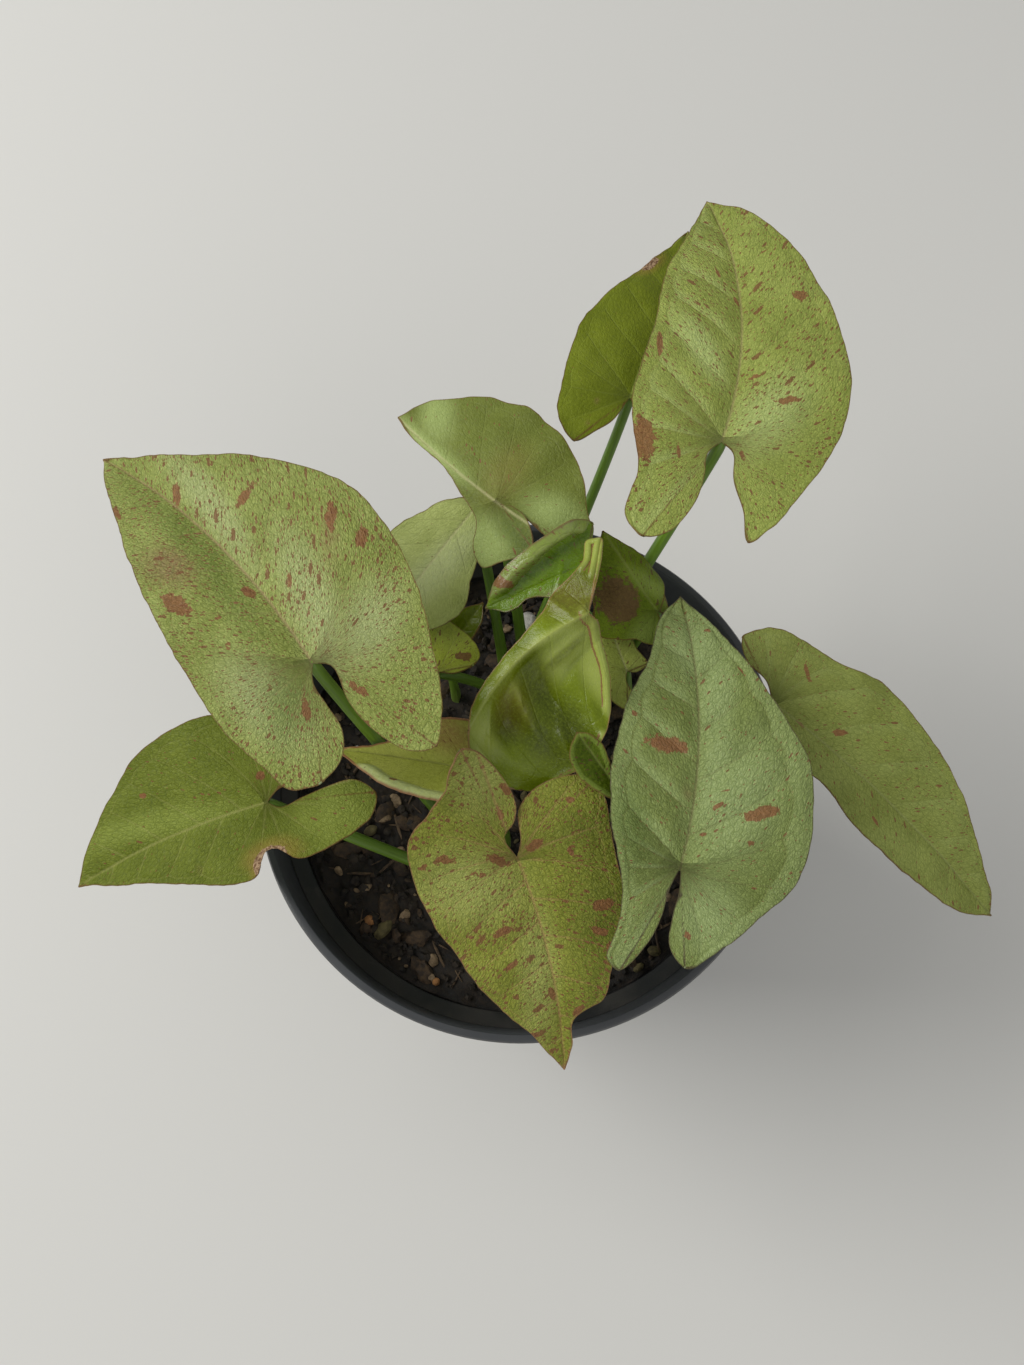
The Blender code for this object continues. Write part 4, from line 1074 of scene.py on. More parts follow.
@dataclass
class LeafPiece:
    """Builds one leaf: a thin blade of two halves on its stalk.

    stagger is how much nearer the base the right half's veins lie, as a share of their
    spacing. foot_rise, foot_arm and top_arm shape the stalk's curve, and midrib_share is how much
    of the blade's length its midrib underlies.
    """

    leaf: Leaf
    fineness: int = 8
    thickness: float = 0.5
    lobe_columns: int = 5
    midrib_columns: int = 8
    rows: int = 4
    span_points: int = 24
    end_ease: float = 1.6
    stagger: float = 0.35
    stalk_columns: int = 96
    stalk_rows: int = 16
    foot_rise: float = 2.5
    foot_arm: float = 0.24
    top_arm: float = 0.35
    midrib_share: float = 0.92

    def lines(self, side: int) -> tuple[Points, Points]:
        """The inner and outer flat line of one half, from the lobe's end to the tip.

        Args:
            side: 0 for the left half, 1 for the right.

        Returns:
            The line by the sinus and the midrib, and the margin.
        """
        leaf = self.leaf
        curve = smooth_through([(0, 0), *(leaf.left, leaf.right)[side], (leaf.length, 0)],
                               self.span_points)
        end = (leaf.ends[side] + 1) * self.span_points
        back, margin = curve[:end + 1][::-1], curve[end:]
        turn = max(2, int(np.argmax(margin[:, 0] > 0.1 * leaf.length)))
        lobe, mid = self.lobe_columns * self.fineness, self.midrib_columns * self.fineness
        midrib = np.linspace((0, 0), (leaf.length, 0), mid + 1)
        inner = np.vstack([spaced(back, lobe, self.end_ease), midrib[1:]])
        outer = np.vstack([spaced(margin[:turn + 1], lobe, self.end_ease), spaced(margin[turn:], mid)[1:]])
        away = unit(np.gradient(outer, axis=0))[:, ::-1] * ((-1, 1), (1, -1))[side]
        wander = 0.4 * rough(outer, 0.13, 2.2) + 0.22 * rough(outer, 0.45, 6.1)
        ends = eased(np.arange(len(outer)), 0, 6) * eased(np.arange(len(outer))[::-1], 0, 6)
        return inner, outer + away * (wander * ends)[:, None]

    def veins(self, flat: Points, side: int) -> tuple[Points, Points]:
        """Which side vein flat points belong to.

        Args:
            flat: Points of the flat outline.
            side: 0 for the left half, 1 for the right.

        Returns:
            The running number of the vein, and the millimetres from one to the next.
        """
        plan = self.leaf.veins
        drift = 1.2 * rough(flat, 0.06, 7.3 + side)
        ahead, aside = flat[:, 0] + drift, np.abs(flat[:, 1])
        bent = ahead - plan.bend * aside ** 2
        forward = (bent - plan.slope * aside) / plan.spacing
        first = math.atan2(1, plan.slope)
        fan = (np.arctan2(aside, bent) - first) / math.radians(plan.fan)
        rank = np.where(forward >= 0, forward, -fan) + self.stagger * side
        gap = np.where(forward >= 0, plan.spacing * math.sin(first),
                       np.hypot(aside, bent) * math.radians(plan.fan))
        return rank, gap

    def in_oval(self, flat: Points, mark: tuple[float, ...]) -> tuple[Points, Points]:
        """Flat points as an oval mark sees them.

        Args:
            flat: Points of the flat outline.
            mark: The oval: along, to the left, half length, half width, turn.

        Returns:
            How many half lengths and half widths they lie from its middle.
        """
        along, aside, long, wide, turn = mark
        c, s = math.cos(math.radians(turn)), math.sin(math.radians(turn))
        across = flat - (along, aside)
        return across @ (c, s) / long, across @ (-s, c) / wide

    def spots(self, flat: Points, marks: Marks) -> Points:
        """How deep flat points lie in some oval marks.

        Args:
            flat: Points of the flat outline.
            marks: The ovals.

        Returns:
            1 in the middle of a mark, 0 on its edge and less outside.
        """
        best = np.full(len(flat), -4.0)
        for mark in marks:
            best = np.maximum(best, 1 - np.hypot(*self.in_oval(flat, mark)))
        return best

    def seamed(self, surface: Surface, flat: Points, normals: Points) -> Points:
        """Normals that both halves share along the midrib, so that their relief meets there.

        Args:
            surface: The leaf's middle surface.
            flat: Points of the flat outline.
            normals: Their upward normals on one half.

        Returns:
            The normals, turned to the shared one close to the midrib.
        """
        middle = flat * (1, 0)
        shared = unit(surface.at(middle, 0)[1] + surface.at(middle, 1)[1])
        near = (1 - eased(np.abs(flat[:, 1]), 0.0, 2.5)) * eased(flat[:, 0], -2.0, 0.0)
        return unit(normals * (1 - near)[:, None] + shared * near[:, None])

    def strips(self, flat: Points, edge: Points) -> list[tuple[Points, Points, float, float, float]]:
        """The rolled strips of the margin.

        Args:
            flat: Points of the flat outline.
            edge: Their distances to the margin.

        Returns:
            For each band: how far points lie inside its oval, how far inside its strip, and its
            width, rise and redness.
        """
        found = []
        for *oval, width, rise, red in self.leaf.bands:
            inside = eased(self.spots(flat, (oval,)), 0.0, 0.2)
            found.append((inside, 1 - eased(edge, width - 0.1, width + 0.35), width, rise, red))
        return found

    def loop(self, rank: Points) -> Points:
        """The collecting vein's place between midrib and margin, scalloped from vein to vein."""
        return self.leaf.veins.collector + 0.06 * np.sin(np.pi * (rank - np.floor(rank)))

    def margin_distance(self, flat: Points, margin: Points) -> Points:
        """How far flat points are from the margin.

        Args:
            flat: Points of the flat outline.
            margin: Points of the margin in order.

        Returns:
            Millimetres to the nearest part of it.
        """
        start, run = margin[:-1], np.diff(margin, axis=0)
        size = np.maximum((run ** 2).sum(1), 1e-9)
        best = np.full(len(flat), 1e9)
        for here, step, square in zip(start, run, size):
            share = np.clip(((flat - here) @ step) / square, 0, 1)
            best = np.minimum(best, np.linalg.norm(flat - here - share[:, None] * step, axis=1))
        return best

    def quilting(self, flat: Points, row: Points, side: int) -> Points:
        """How far the panels between the side veins stand up.

        Args:
            flat: Points of the flat outline.
            row: Their shares of the way from the midrib to the margin.
            side: 0 for the left half, 1 for the right.

        Returns:
            A height for each point, in millimetres.
        """
        rank, gap = self.veins(flat, side)
        cell = rank - np.floor(rank)
        loop = self.loop(rank)
        crease = 1 - np.exp(-np.minimum(cell, 1 - cell) * gap / 1.5)
        panel = 0.6 * crease + 0.6 * np.sin(np.pi * cell) - 0.5
        room = eased(row, 0.02, 0.25) * (1 - eased(row, loop - 0.15, loop + 0.02))
        room = room * eased(gap, 1.5, 6.0) * np.where(rank < self.stagger * side, 0.6, 1.0)
        room = room * (0.15 + 0.85 * eased(flat[:, 0], -20.0, -6.0))
        beyond = 0.22 * eased(row, loop, loop + 0.1) * (1 - eased(row, 0.9, 1.0))
        return self.leaf.veins.quilt * (panel * room + beyond)

    def swells(self, flat: Points, row: Points, edge: Points, side: int) -> Points:
        """Slow unevenness all over, small waves near the margin, and the groove of the midrib.

        Args:
            flat: Points of the flat outline.
            row: Their shares of the way from the midrib to the margin.
            edge: Their distances to the margin.
            side: 0 for the left half, 1 for the right.

        Returns:
            A height for each point, in millimetres.
        """
        aside = np.abs(flat[:, 1])
        broad = 0.5 * rough(flat, 0.085, 3.1) * eased(self.leaf.length - flat[:, 0], 0.0, 8.0)
        finer = 0.25 * rough(flat, 0.23, 5.7) * eased(aside, 0.0, 3.0)
        frill = 0.5 * rough(flat, 0.14, 8.2 + side) * (1 - eased(edge, 0.0, 5.0)) * eased(row, 0.3, 1)
        return broad + finer + frill - self.leaf.veins.groove * np.exp(-aside / 3.0)

    def folds(self, flat: Points, row: Points, edge: Points) -> Points:
        """The leaf's own dents, creases and rolled margins.

        Args:
            flat: Points of the flat outline.
            row: Their shares of the way from the midrib to the margin.
            edge: Their distances to the margin.

        Returns:
            A height for each point, in millimetres.
        """
        lift = np.zeros(len(flat))
        drift = 0.5 * rough(flat, 0.3, 4.4)
        for *oval, rise in self.leaf.dents:
            lift = lift + rise * np.exp(-1.2 * (1 - self.spots(flat, (oval,))) ** 2)
        for *oval, rise in self.leaf.creases:
            x, y = self.in_oval(flat, oval)
            lift = lift + rise * np.exp(-1.3 * x ** 2 - np.abs(y + drift / oval[3]))
        for inside, _, width, rise, _ in self.strips(flat, edge):
            roll = np.sin(np.pi * np.clip(edge / width, 0, 1))
            lift = lift + rise * inside * roll * eased(row, 0, 0.15)
        return lift

    def half(self, side: int) -> bpy.types.Object:
        """One half of the blade as a thin sheet with its fields.

        Args:
            side: 0 for the left half, 1 for the right.

        Returns:
            The half.
        """
        leaf = self.leaf
        plan = leaf.veins
        surface = Surface(leaf)
        inner, outer = self.lines(side)
        known = np.linspace(0, 1, len(inner))
        margin = np.vstack([inner[:self.lobe_columns * self.fineness], outer])

        def measured(column: Points, row: Points) -> tuple[Points, Points, Points]:
            """Flat points, their distances to the margin, and the half's width there."""
            start, end = interpolated(column, known, inner), interpolated(column, known, outer)
            flat = start + (end - start) * row[:, None]
            return flat, self.margin_distance(flat, margin), np.linalg.norm(end - start, axis=1)

        def shape(column: Points, row: Points) -> Points:
            """Points of the curved and folded half."""
            flat, edge, _ = measured(column, row)
            points, normals = surface.at(flat, side)
            lift = self.quilting(flat, row, side) + self.swells(flat, row, edge, side)
            lift = lift + self.folds(flat, row, edge)
            return points + self.seamed(surface, flat, normals) * lift[:, None]

        def fields(column: Points, row: Points) -> dict[str, Points]:
            """What the materials read: places, veins, margin, grain, painted light and shade with browner
            washes, and marks.
            """
            flat, edge, wide = measured(column, row)
            rank, gap = self.veins(flat, side)
            nothing = 0 * edge
            away = np.hypot(np.abs(flat[:, 1]) * math.hypot(1, plan.slope), np.minimum(flat[:, 0], 0))
            # The first channel holds the lights' painted highlight and the rolled strips' pale under face,
            # the second the shades' painted shade, and the third the warms' browner colour.
            soft = [eased(self.spots(flat, marks), -0.7, 0.8)
                    for marks in (leaf.lights, leaf.shades, leaf.warms)]
            marks = [self.spots(flat, marks) for marks in (leaf.spots, leaf.stains, leaf.dead)]
            for inside, band, width, _, red in self.strips(flat, edge):
                soft[0] = np.maximum(soft[0], inside * band)
                if red:
                    line = inside * (red - np.abs(edge - width) / 0.35) - 2 * (1 - inside)
                    marks[0] = np.maximum(marks[0], line)
            found = {"flat": (flat[:, 0], flat[:, 1], nothing), "vein": (rank, gap, nothing),
                     "rim": (edge, row, (row - self.loop(rank)) * wide),
                     "grain": (rank * plan.spacing * 0.8 + 90 * side, away, nothing),
                     "tints": soft, "spots": marks}
            return {key: np.stack(values, -1) for key, values in found.items()}

        columns = (self.lobe_columns + self.midrib_columns) * self.fineness
        made = sheet(leaf.name + "_half", columns, self.rows * self.fineness, shape, fields)
        if side == 1:
            edit(made, lambda: bpy.ops.mesh.flip_normals())
        return made

    def stalk_line(self) -> tuple[Points, Points]:
        """The stalk's way up out of the mix, over to the blade, then under it as its midrib.

        Returns:
            Points of the centre line, and the radius at each.
        """
        leaf = self.leaf
        surface = Surface(leaf)
        start = np.array([*leaf.foot, SOIL_TOP + self.foot_rise])
        end = np.array(leaf.base, float) - (0, 0, 0.3 + 0.75 * leaf.stalk)
        level = unit((end - start) * (1, 1, 0))
        arrival = unit(level * leaf.lean[0] + np.array([0, 0, leaf.lean[1]]))
        first = start + np.array([0, 0, self.foot_arm * (end[2] - start[2])])
        second = end - arrival * self.top_arm * np.linalg.norm(end - start)
        line = [np.array([*leaf.foot, ROOTED])] * 2
        radii = [0.0, leaf.stalk]
        for t in np.linspace(0, 1, 60):
            weights = ((1 - t) ** 3, 3 * t * (1 - t) ** 2, 3 * t * t * (1 - t), t ** 3)
            line.append(sum(w * p for w, p in zip(weights, (start, first, second, end))))
            radii.append(leaf.stalk * (1 - 0.15 * t))
        for share in np.linspace(0, self.midrib_share, 28)[1:]:
            radius = max(0.25, leaf.stalk * (0.55 - 0.45 * share))
            under = radius + max(0.0, leaf.veins.groove) + 0.15
            line.append(surface.at(np.array([(share * leaf.length, 0.0)]), 0)[0][0] - (0, 0, under))
            radii.append(radius)
        line.append(line[-1] + (line[-1] - line[-2]) * 0.1)
        radii.append(0.0)
        line = np.array(line)
        line[0, 2] -= 0.01
        return line, np.array(radii)

    def stalk(self) -> bpy.types.Object:
        """The round stalk, with a shallow channel and a sheath that clasps its foot."""
        line, radii = self.stalk_line()

        def ripple(along: Points, angle: Points) -> Points:
            """The channel, and the sheath's two wings near the foot."""
            low = 1 - eased(along, 0.12, 0.42)
            wings = np.exp(-((np.abs(angle - np.pi) - 0.75) / 0.28) ** 2)
            channel = np.exp(-((angle - np.pi) / 0.4) ** 2)
            return 1 + low * (0.28 * wings - 0.1 * channel) - 0.05 * channel

        return tube(self.leaf.name + "_stalk", line, radii, self.stalk_columns, self.stalk_rows, ripple)

    def build(self, stem: bpy.types.Material) -> bpy.types.Object:
        """The finished leaf.

        Args:
            stem: The stalks' material.

        Returns:
            One object with upper face, under face and stalk.
        """
        leaf = self.leaf
        blade = joined(leaf.name + "_leaf", [self.half(0), self.half(1)])
        weld(blade)
        blade.data.materials.append(leaf.finish.top(leaf.name))
        blade.data.materials.append(leaf.finish.bottom(leaf.name))
        applied(blade, "SOLIDIFY", thickness=self.thickness * MM, offset=0.0, use_even_offset=False,
                material_offset=1, material_offset_rim=0)
        stalk = self.stalk()
        stalk.data.materials.append(stem)
        piece = joined(leaf.name + "_leaf", [blade, stalk])
        smoothed(piece, 60)
        return piece


@dataclass(frozen=True)
class StalkFinish:
    """Smooth mid-green stalks, paler at the foot, with faint lengthwise streaks."""

    green: Colour = (0.105, 0.19, 0.015)
    pale: Colour = (0.20, 0.28, 0.05)

    def material(self) -> bpy.types.Material:
        """The stalks' material."""
        graph = Skin("stalk_green")
        along, around, _ = graph.parts(graph.field("along"))
        streak = graph.add("CombineXYZ", {0: graph.times(along, 0.05), 1: graph.times(around, 9.0)})
        lines = graph.noise(streak.outputs[0], 2.0, 3.0)
        colour = graph.mix(graph.spread(lines, 0.3, 0.7), self.green, toned(self.green, 1.35))
        colour = graph.mix(graph.spread(along, 4.0, 26.0, 0.75, 0.0), colour, self.pale)
        return graph.finished(colour, graph.spread(lines, 0.3, 0.7, 0.34, 0.46), lines, 0.12)


@dataclass(frozen=True)
class PotFinish:
    """Black moulded plastic with a satin skin, fine scuffs and a film of dried mix inside, painted shade low
    on the inner wall and painted light on the upper inner wall and the lip's top.
    """

    black: Colour = (0.018, 0.019, 0.021)
    # shaded is the inner wall low down, darkened as painted shade in the pot's depth.
    shaded: Colour = (0.010, 0.0105, 0.011)
    # collar is the grey of the painted light on the upper inner wall and the painted highlight on the lip's
    # top.
    collar: Colour = (0.060, 0.064, 0.068)
    dust: Colour = (0.075, 0.065, 0.05)

    def material(self) -> bpy.types.Material:
        """The pot's material."""
        graph = Skin("pot_plastic")
        place = graph.place()
        x, y, z = graph.parts(place)
        scuff = graph.noise(place, 900.0, 5.0, 0.7)
        cloud = graph.noise(place, 60.0, 4.0)
        radius = graph.math("SQRT", graph.plus(graph.times(x, x), graph.times(y, y)))
        inside = graph.spread(radius, 0.0628, 0.0633, 1.0, 0.0)
        inside = graph.times(inside, graph.spread(z, 0.0915, 0.0925))
        high = graph.spread(z, 0.0965, 0.0985)
        # low is the inner wall just above the mix, where painted shade darkens it and dust films it.
        low = graph.times(inside, graph.less(1.0, high))
        # lit is painted light: the upper inner wall, and the lip's top in part, turn to the collar grey.
        lit = graph.most(graph.times(high, inside), graph.spread(z, 0.1105, 0.1115, 0.0, 0.45))
        colour = graph.mix(low, graph.mix(lit, self.black, self.collar), self.shaded)
        film = graph.times(low, graph.spread(cloud, 0.42, 0.62))
        marks = graph.noise(graph.vector("MULTIPLY", place, (1.0, 1.0, 0.35)), 170.0, 5.0, 0.75)
        dried = graph.times(graph.spread(marks, 0.6, 0.74), inside)
        colour = graph.layers(colour, (film, 0.3, self.dust), (dried, 0.35, self.dust))
        colour = graph.mix(graph.spread(scuff, 0.62, 0.78, 0.0, 0.35), colour, self.dust)
        gloss = graph.plus(graph.spread(cloud, 0.3, 0.7, 0.30, 0.42), graph.times(film, 0.3))
        return graph.finished(colour, gloss, graph.noise(place, 1500.0, 2.0), 0.03)


@dataclass
class Pot:
    """A tapered nursery pot with a shoulder, a collar and a rolled lip."""

    height: float = 112.0
    rim: float = 65.0
    base: float = 45.0
    shoulder: float = 59.5
    shoulder_height: float = 93.0
    collar_step: float = 3.6
    collar_rise: float = 2.2
    lip_height: float = 2.4
    lip_out: float = 0.9
    wall: float = 1.5
    floor: float = 2.2
    holes: int = 8
    hole_radius: float = 4.0
    hole_ring: float = 33.0
    sides: int = 160
    drill_sides: int = 28
    drill_depth: float = 12.0

    def profile(self) -> list[tuple[float, float]]:
        """The wall's outline, from under the middle round the lip to the floor.

        Returns:
            Pairs of radius and height.
        """
        collar = self.shoulder + self.collar_step
        foot = self.shoulder_height + self.collar_rise
        lip = self.height - self.lip_height
        neck = self.rim - self.lip_out
        low = self.base + (self.shoulder - self.base) * self.floor / self.shoulder_height
        inner = neck - self.wall
        return [(0, 1.2), (20, 1.2), (22, 0.2), (self.base - 4, 0), (self.base - 1, 0), (self.base, 1),
                (self.shoulder, self.shoulder_height), (collar, foot), (neck - 0.2, lip - 1.0),
                (neck, lip), (self.rim - 0.2, lip + 0.3), (self.rim, lip + 0.9),
                (self.rim, self.height - 0.8), (self.rim - 0.4, self.height - 0.15),
                (self.rim - 1.0, self.height), (inner + 0.5, self.height), (inner, self.height - 0.6),
                (collar - self.wall, foot + 0.5), (self.shoulder - self.wall, self.shoulder_height + 0.5),
                (low - self.wall, self.floor + 0.6), (low - self.wall - 0.6, self.floor), (0, self.floor)]

    def build(self) -> bpy.types.Object:
        """The finished pot: its outline spun round, with drain holes through the floor."""
        bpy.ops.object.select_all(action="DESELECT")
        bpy.ops.mesh.primitive_plane_add(size=MM)
        pot = bpy.context.active_object
        pot.name = pot.data.name = "pot_finished"
        outline = [Vector((r * MM, 0, z * MM)) for r, z in self.profile()]

        def collapse() -> None:
            """Makes the plane one point, at the outline's start."""
            bpy.ops.mesh.merge(type="CENTER")
            bpy.ops.transform.translate(value=outline[0])

        def trace() -> None:
            """Draws the outline out of that point."""
            for here, there in zip(outline, outline[1:]):
                bpy.ops.mesh.extrude_region_move(TRANSFORM_OT_translate={"value": there - here})
            bpy.ops.mesh.select_all(action="SELECT")

        def spin() -> None:
            """Turns the outline into the closed pot."""
            bpy.ops.mesh.spin(steps=self.sides, angle=2 * math.pi, center=(0, 0, 0), axis=(0, 0, 1))
            bpy.ops.mesh.select_all(action="SELECT")
            bpy.ops.mesh.remove_doubles(threshold=0.002 * MM)
            bpy.ops.mesh.normals_make_consistent(inside=False)

        edit(pot, collapse, trace, spin)
        for k in range(self.holes):
            angle = 2 * math.pi * (k + 0.5) / self.holes
            bpy.ops.object.select_all(action="DESELECT")
            place = Vector((math.cos(angle), math.sin(angle), 0)) * self.hole_ring * MM
            bpy.ops.mesh.primitive_cylinder_add(vertices=self.drill_sides, radius=self.hole_radius * MM,
                                                depth=self.drill_depth * MM, location=place)
            cutter = bpy.context.active_object
            applied(pot, "BOOLEAN", operation="DIFFERENCE", solver="EXACT", object=cutter)
            bpy.data.objects.remove(cutter, do_unlink=True)
        pot.data.materials.clear()
        pot.data.materials.append(PotFinish().material())
        smoothed(pot, 38)
        return pot


@dataclass(frozen=True)
class MixFinish:
    """Moist dark peat, or one of the coarser bits in it."""

    name: str
    dark: Colour
    light: Colour
    roughness: float = 0.9
    grain: float = 700.0
    depth: float = 0.35

    def material(self) -> bpy.types.Material:
        """The material, grainy and mottled."""
        graph = Skin(self.name)
        place = graph.place()
        grain = graph.noise(place, self.grain, 5.0, 0.7)
        cloud = graph.noise(place, self.grain / 6, 3.0)
        mottle = graph.plus(graph.times(grain, 0.6), graph.times(cloud, 0.4))
        colour = graph.mix(graph.spread(mottle, 0.38, 0.66), self.dark, self.light)
        matt = graph.spread(grain, 0.3, 0.7, self.roughness - 0.18, self.roughness)
        return graph.finished(colour, matt, grain, self.depth)


@dataclass(frozen=True)
class Bits:
    """One kind of loose bit on the mix: how many, how big and what shape.

    placed are bits that the photograph shows clearly, as (x, y, size, turn); the rest lie at random.
    """

    name: str
    count: int
    small: float
    large: float
    flat: Pair
    finish: MixFinish
    rounds: int = 1
    sink: float = 0.3
    crumple: float = 0.35
    seed: int = 1
    placed: Marks = ()


@dataclass
class PottingMix:
    """The mix that fills the pot, with crumbs, bark, fibres and stones lying on it.

    scattered is how far out the middles of loose bits lie, littered is how far out they reach,
    and leaning is the spread of their tilts in radians.
    """

    wall: float = 57.6
    floor: float = 2.6
    low: float = 43.4
    bump: float = 1.6
    around: int = 220
    outward: int = 130
    scattered: float = 56.5
    littered: float = 57.2
    leaning: float = 0.35

    def height(self, x: Points, y: Points) -> Points:
        """The mix's swells, without its crumbs.

        Args:
            x: Places to the right.
            y: Places to the back.

        Returns:
            The height at each.
        """
        edge = (np.hypot(x, y) / 58.0) ** 4
        swell = rough(np.stack([x, y], -1), 0.09)
        ripple = rough(np.stack([x, y, 0 * x + 40], -1), 0.22)
        return SOIL_TOP + self.bump * (swell + 0.6 * ripple - 0.6 * edge)

    def bed(self) -> bpy.types.Object:
        """The body of the mix, with a crumbly top."""

        def shape(around: Points, out: Points) -> Points:
            """Points of the top, then of the wall, then of the underside."""
            angle = 2 * np.pi * around
            top = out < 0.86
            radius = np.where(top, self.wall * out / 0.85, self.wall)
            radius = np.where(out > 0.93, self.low, radius)
            radius = np.where(out > 0.985, 0.0, np.minimum(radius, self.wall))
            x, y = radius * np.cos(angle), radius * np.sin(angle)
            z = self.height(x, y)
            near = np.stack([x, y], -1)
            crumb = np.abs(rough(near, 0.8, 2.0)) + 0.6 * np.abs(rough(near, 1.9, 9.0))
            z = z + np.where(top, 1.1 * crumb - 0.5, -0.3)
            z = np.where(out > 0.93, self.floor, z)
            return np.stack([x, y, z], -1)

        bed = sheet("potting_mix_bed", self.around, self.outward, shape)
        closed(bed)
        bed.data.materials.append(MixFinish("peat", (0.006, 0.005, 0.004), (0.035, 0.024, 0.015)).material())
        smoothed(bed, 70)
        return bed

    def scatter(self, bits: Bits, clear: list[tuple[float, float, float]]) -> bpy.types.Object:
        """Bits of one kind laid on the mix, clear of the stalks.

        Args:
            bits: The kind of bit.
            clear: Places to keep free, as (x, y, radius).

        Returns:
            All of them as one object.
        """
        draw = np.random.default_rng(bits.seed)
        bpy.ops.object.select_all(action="DESELECT")
        bpy.ops.mesh.primitive_ico_sphere_add(subdivisions=bits.rounds, radius=1)
        model = bpy.context.active_object
        mesh = model.data
        ball = np.zeros(len(mesh.vertices) * 3)
        mesh.vertices.foreach_get("co", ball)
        ball = ball.reshape(-1, 3)
        faces = [tuple(p.vertices) for p in mesh.polygons]
        bpy.data.objects.remove(model, do_unlink=True)
        points, rings = [], []
        free = np.array(clear)
        while len(points) < bits.count:
            angle, out = draw.uniform(0, 2 * np.pi), self.scattered * math.sqrt(draw.uniform(0, 1))
            x, y = out * math.cos(angle), out * math.sin(angle)
            size = bits.small + (bits.large - bits.small) * draw.uniform(0, 1) ** 2.2
            spin = draw.uniform(0, 2 * np.pi)
            if len(points) < len(bits.placed):
                x, y, size, spin = bits.placed[len(points)]
            elif (out + size > self.littered or
                  np.any(np.hypot(free[:, 0] - x, free[:, 1] - y) < free[:, 2] + size * 0.8)):
                continue
            turn = Matrix.Rotation(spin, 3, "Z")
            for axis in ("X", "Y"):
                turn = turn @ Matrix.Rotation(draw.normal(0, self.leaning), 3, axis)
            lump = ball * (1 + bits.crumple * draw.uniform(-1, 1, (len(ball), 1)))
            lump = lump * (size, size * bits.flat[0], size * bits.flat[1])
            lump = lump @ np.array(turn).T
            ground = self.height(np.array([x]), np.array([y]))[0]
            place = (x, y, ground + (0.5 - bits.sink) * size * bits.flat[1] * 2 + 0.2)
            rings += [tuple(i + len(ball) * len(points) for i in f) for f in faces]
            points.append(lump + place)
        made = bpy.data.meshes.new(bits.name)
        made.from_pydata((np.vstack(points) * MM).tolist(), [], rings)
        made.update()
        piece = bpy.data.objects.new(bits.name, made)
        bpy.context.scene.collection.objects.link(piece)
        made.materials.append(bits.finish.material())
        smoothed(piece, 40)
        return piece


BITS = (
    Bits("peat_crumbs", 1900, 0.4, 1.7, (0.8, 0.7),
         MixFinish("peat_crumb", (0.006, 0.005, 0.004), (0.045, 0.032, 0.02)), seed=3),
    Bits("bark_chips", 230, 1.0, 3.8, (0.6, 0.3),
         MixFinish("bark", (0.018, 0.011, 0.006), (0.10, 0.062, 0.032)), rounds=2, seed=5, crumple=0.2,
         placed=((-33.5, -32.0, 4.6, 1.5), (-26, -40, 3.5, 0.6), (-31, -22, 3.0, 2.4))),
    Bits("stones", 30, 0.8, 2.2, (0.62, 0.5),
         MixFinish("greenish_stone", (0.06, 0.048, 0.016), (0.17, 0.14, 0.055)), rounds=3, seed=17,
         crumple=0.05, placed=((-34.7, -37.5, 3.0, 0.9), (-38.7, -12.4, 2.2, 0.3))),
    Bits("pale_chips", 190, 0.5, 1.9, (0.7, 0.4),
         MixFinish("pale_wood", (0.12, 0.08, 0.04), (0.34, 0.24, 0.14)), rounds=2, seed=8, crumple=0.15,
         placed=((-39.5, -27, 1.8, 0.4), (-46.6, -22.7, 1.4, 2.0), (-29.2, -34, 1.8, 1.2),
                 (-35.4, -9, 2.2, 0.2), (-32.4, -4.6, 2.0, 2.2))),
    Bits("orange_grains", 14, 0.5, 1.1, (0.9, 0.8),
         MixFinish("orange_grain", (0.22, 0.09, 0.025), (0.42, 0.2, 0.07)), rounds=2, seed=29,
         crumple=0.08, placed=((-38.0, -35.2, 1.5, 0.0),)),
    Bits("wood_fibres", 150, 2.0, 6.0, (0.09, 0.08),
         MixFinish("fibre", (0.04, 0.026, 0.014), (0.17, 0.11, 0.06)), seed=13, crumple=0.1),
    Bits("perlite", 26, 0.6, 1.6, (0.85, 0.75),
         MixFinish("perlite_white", (0.45, 0.42, 0.38), (0.75, 0.72, 0.66)), rounds=3, seed=21,
         crumple=0.08, placed=((1.9, 43.3, 3.4, 1.0),)),
)


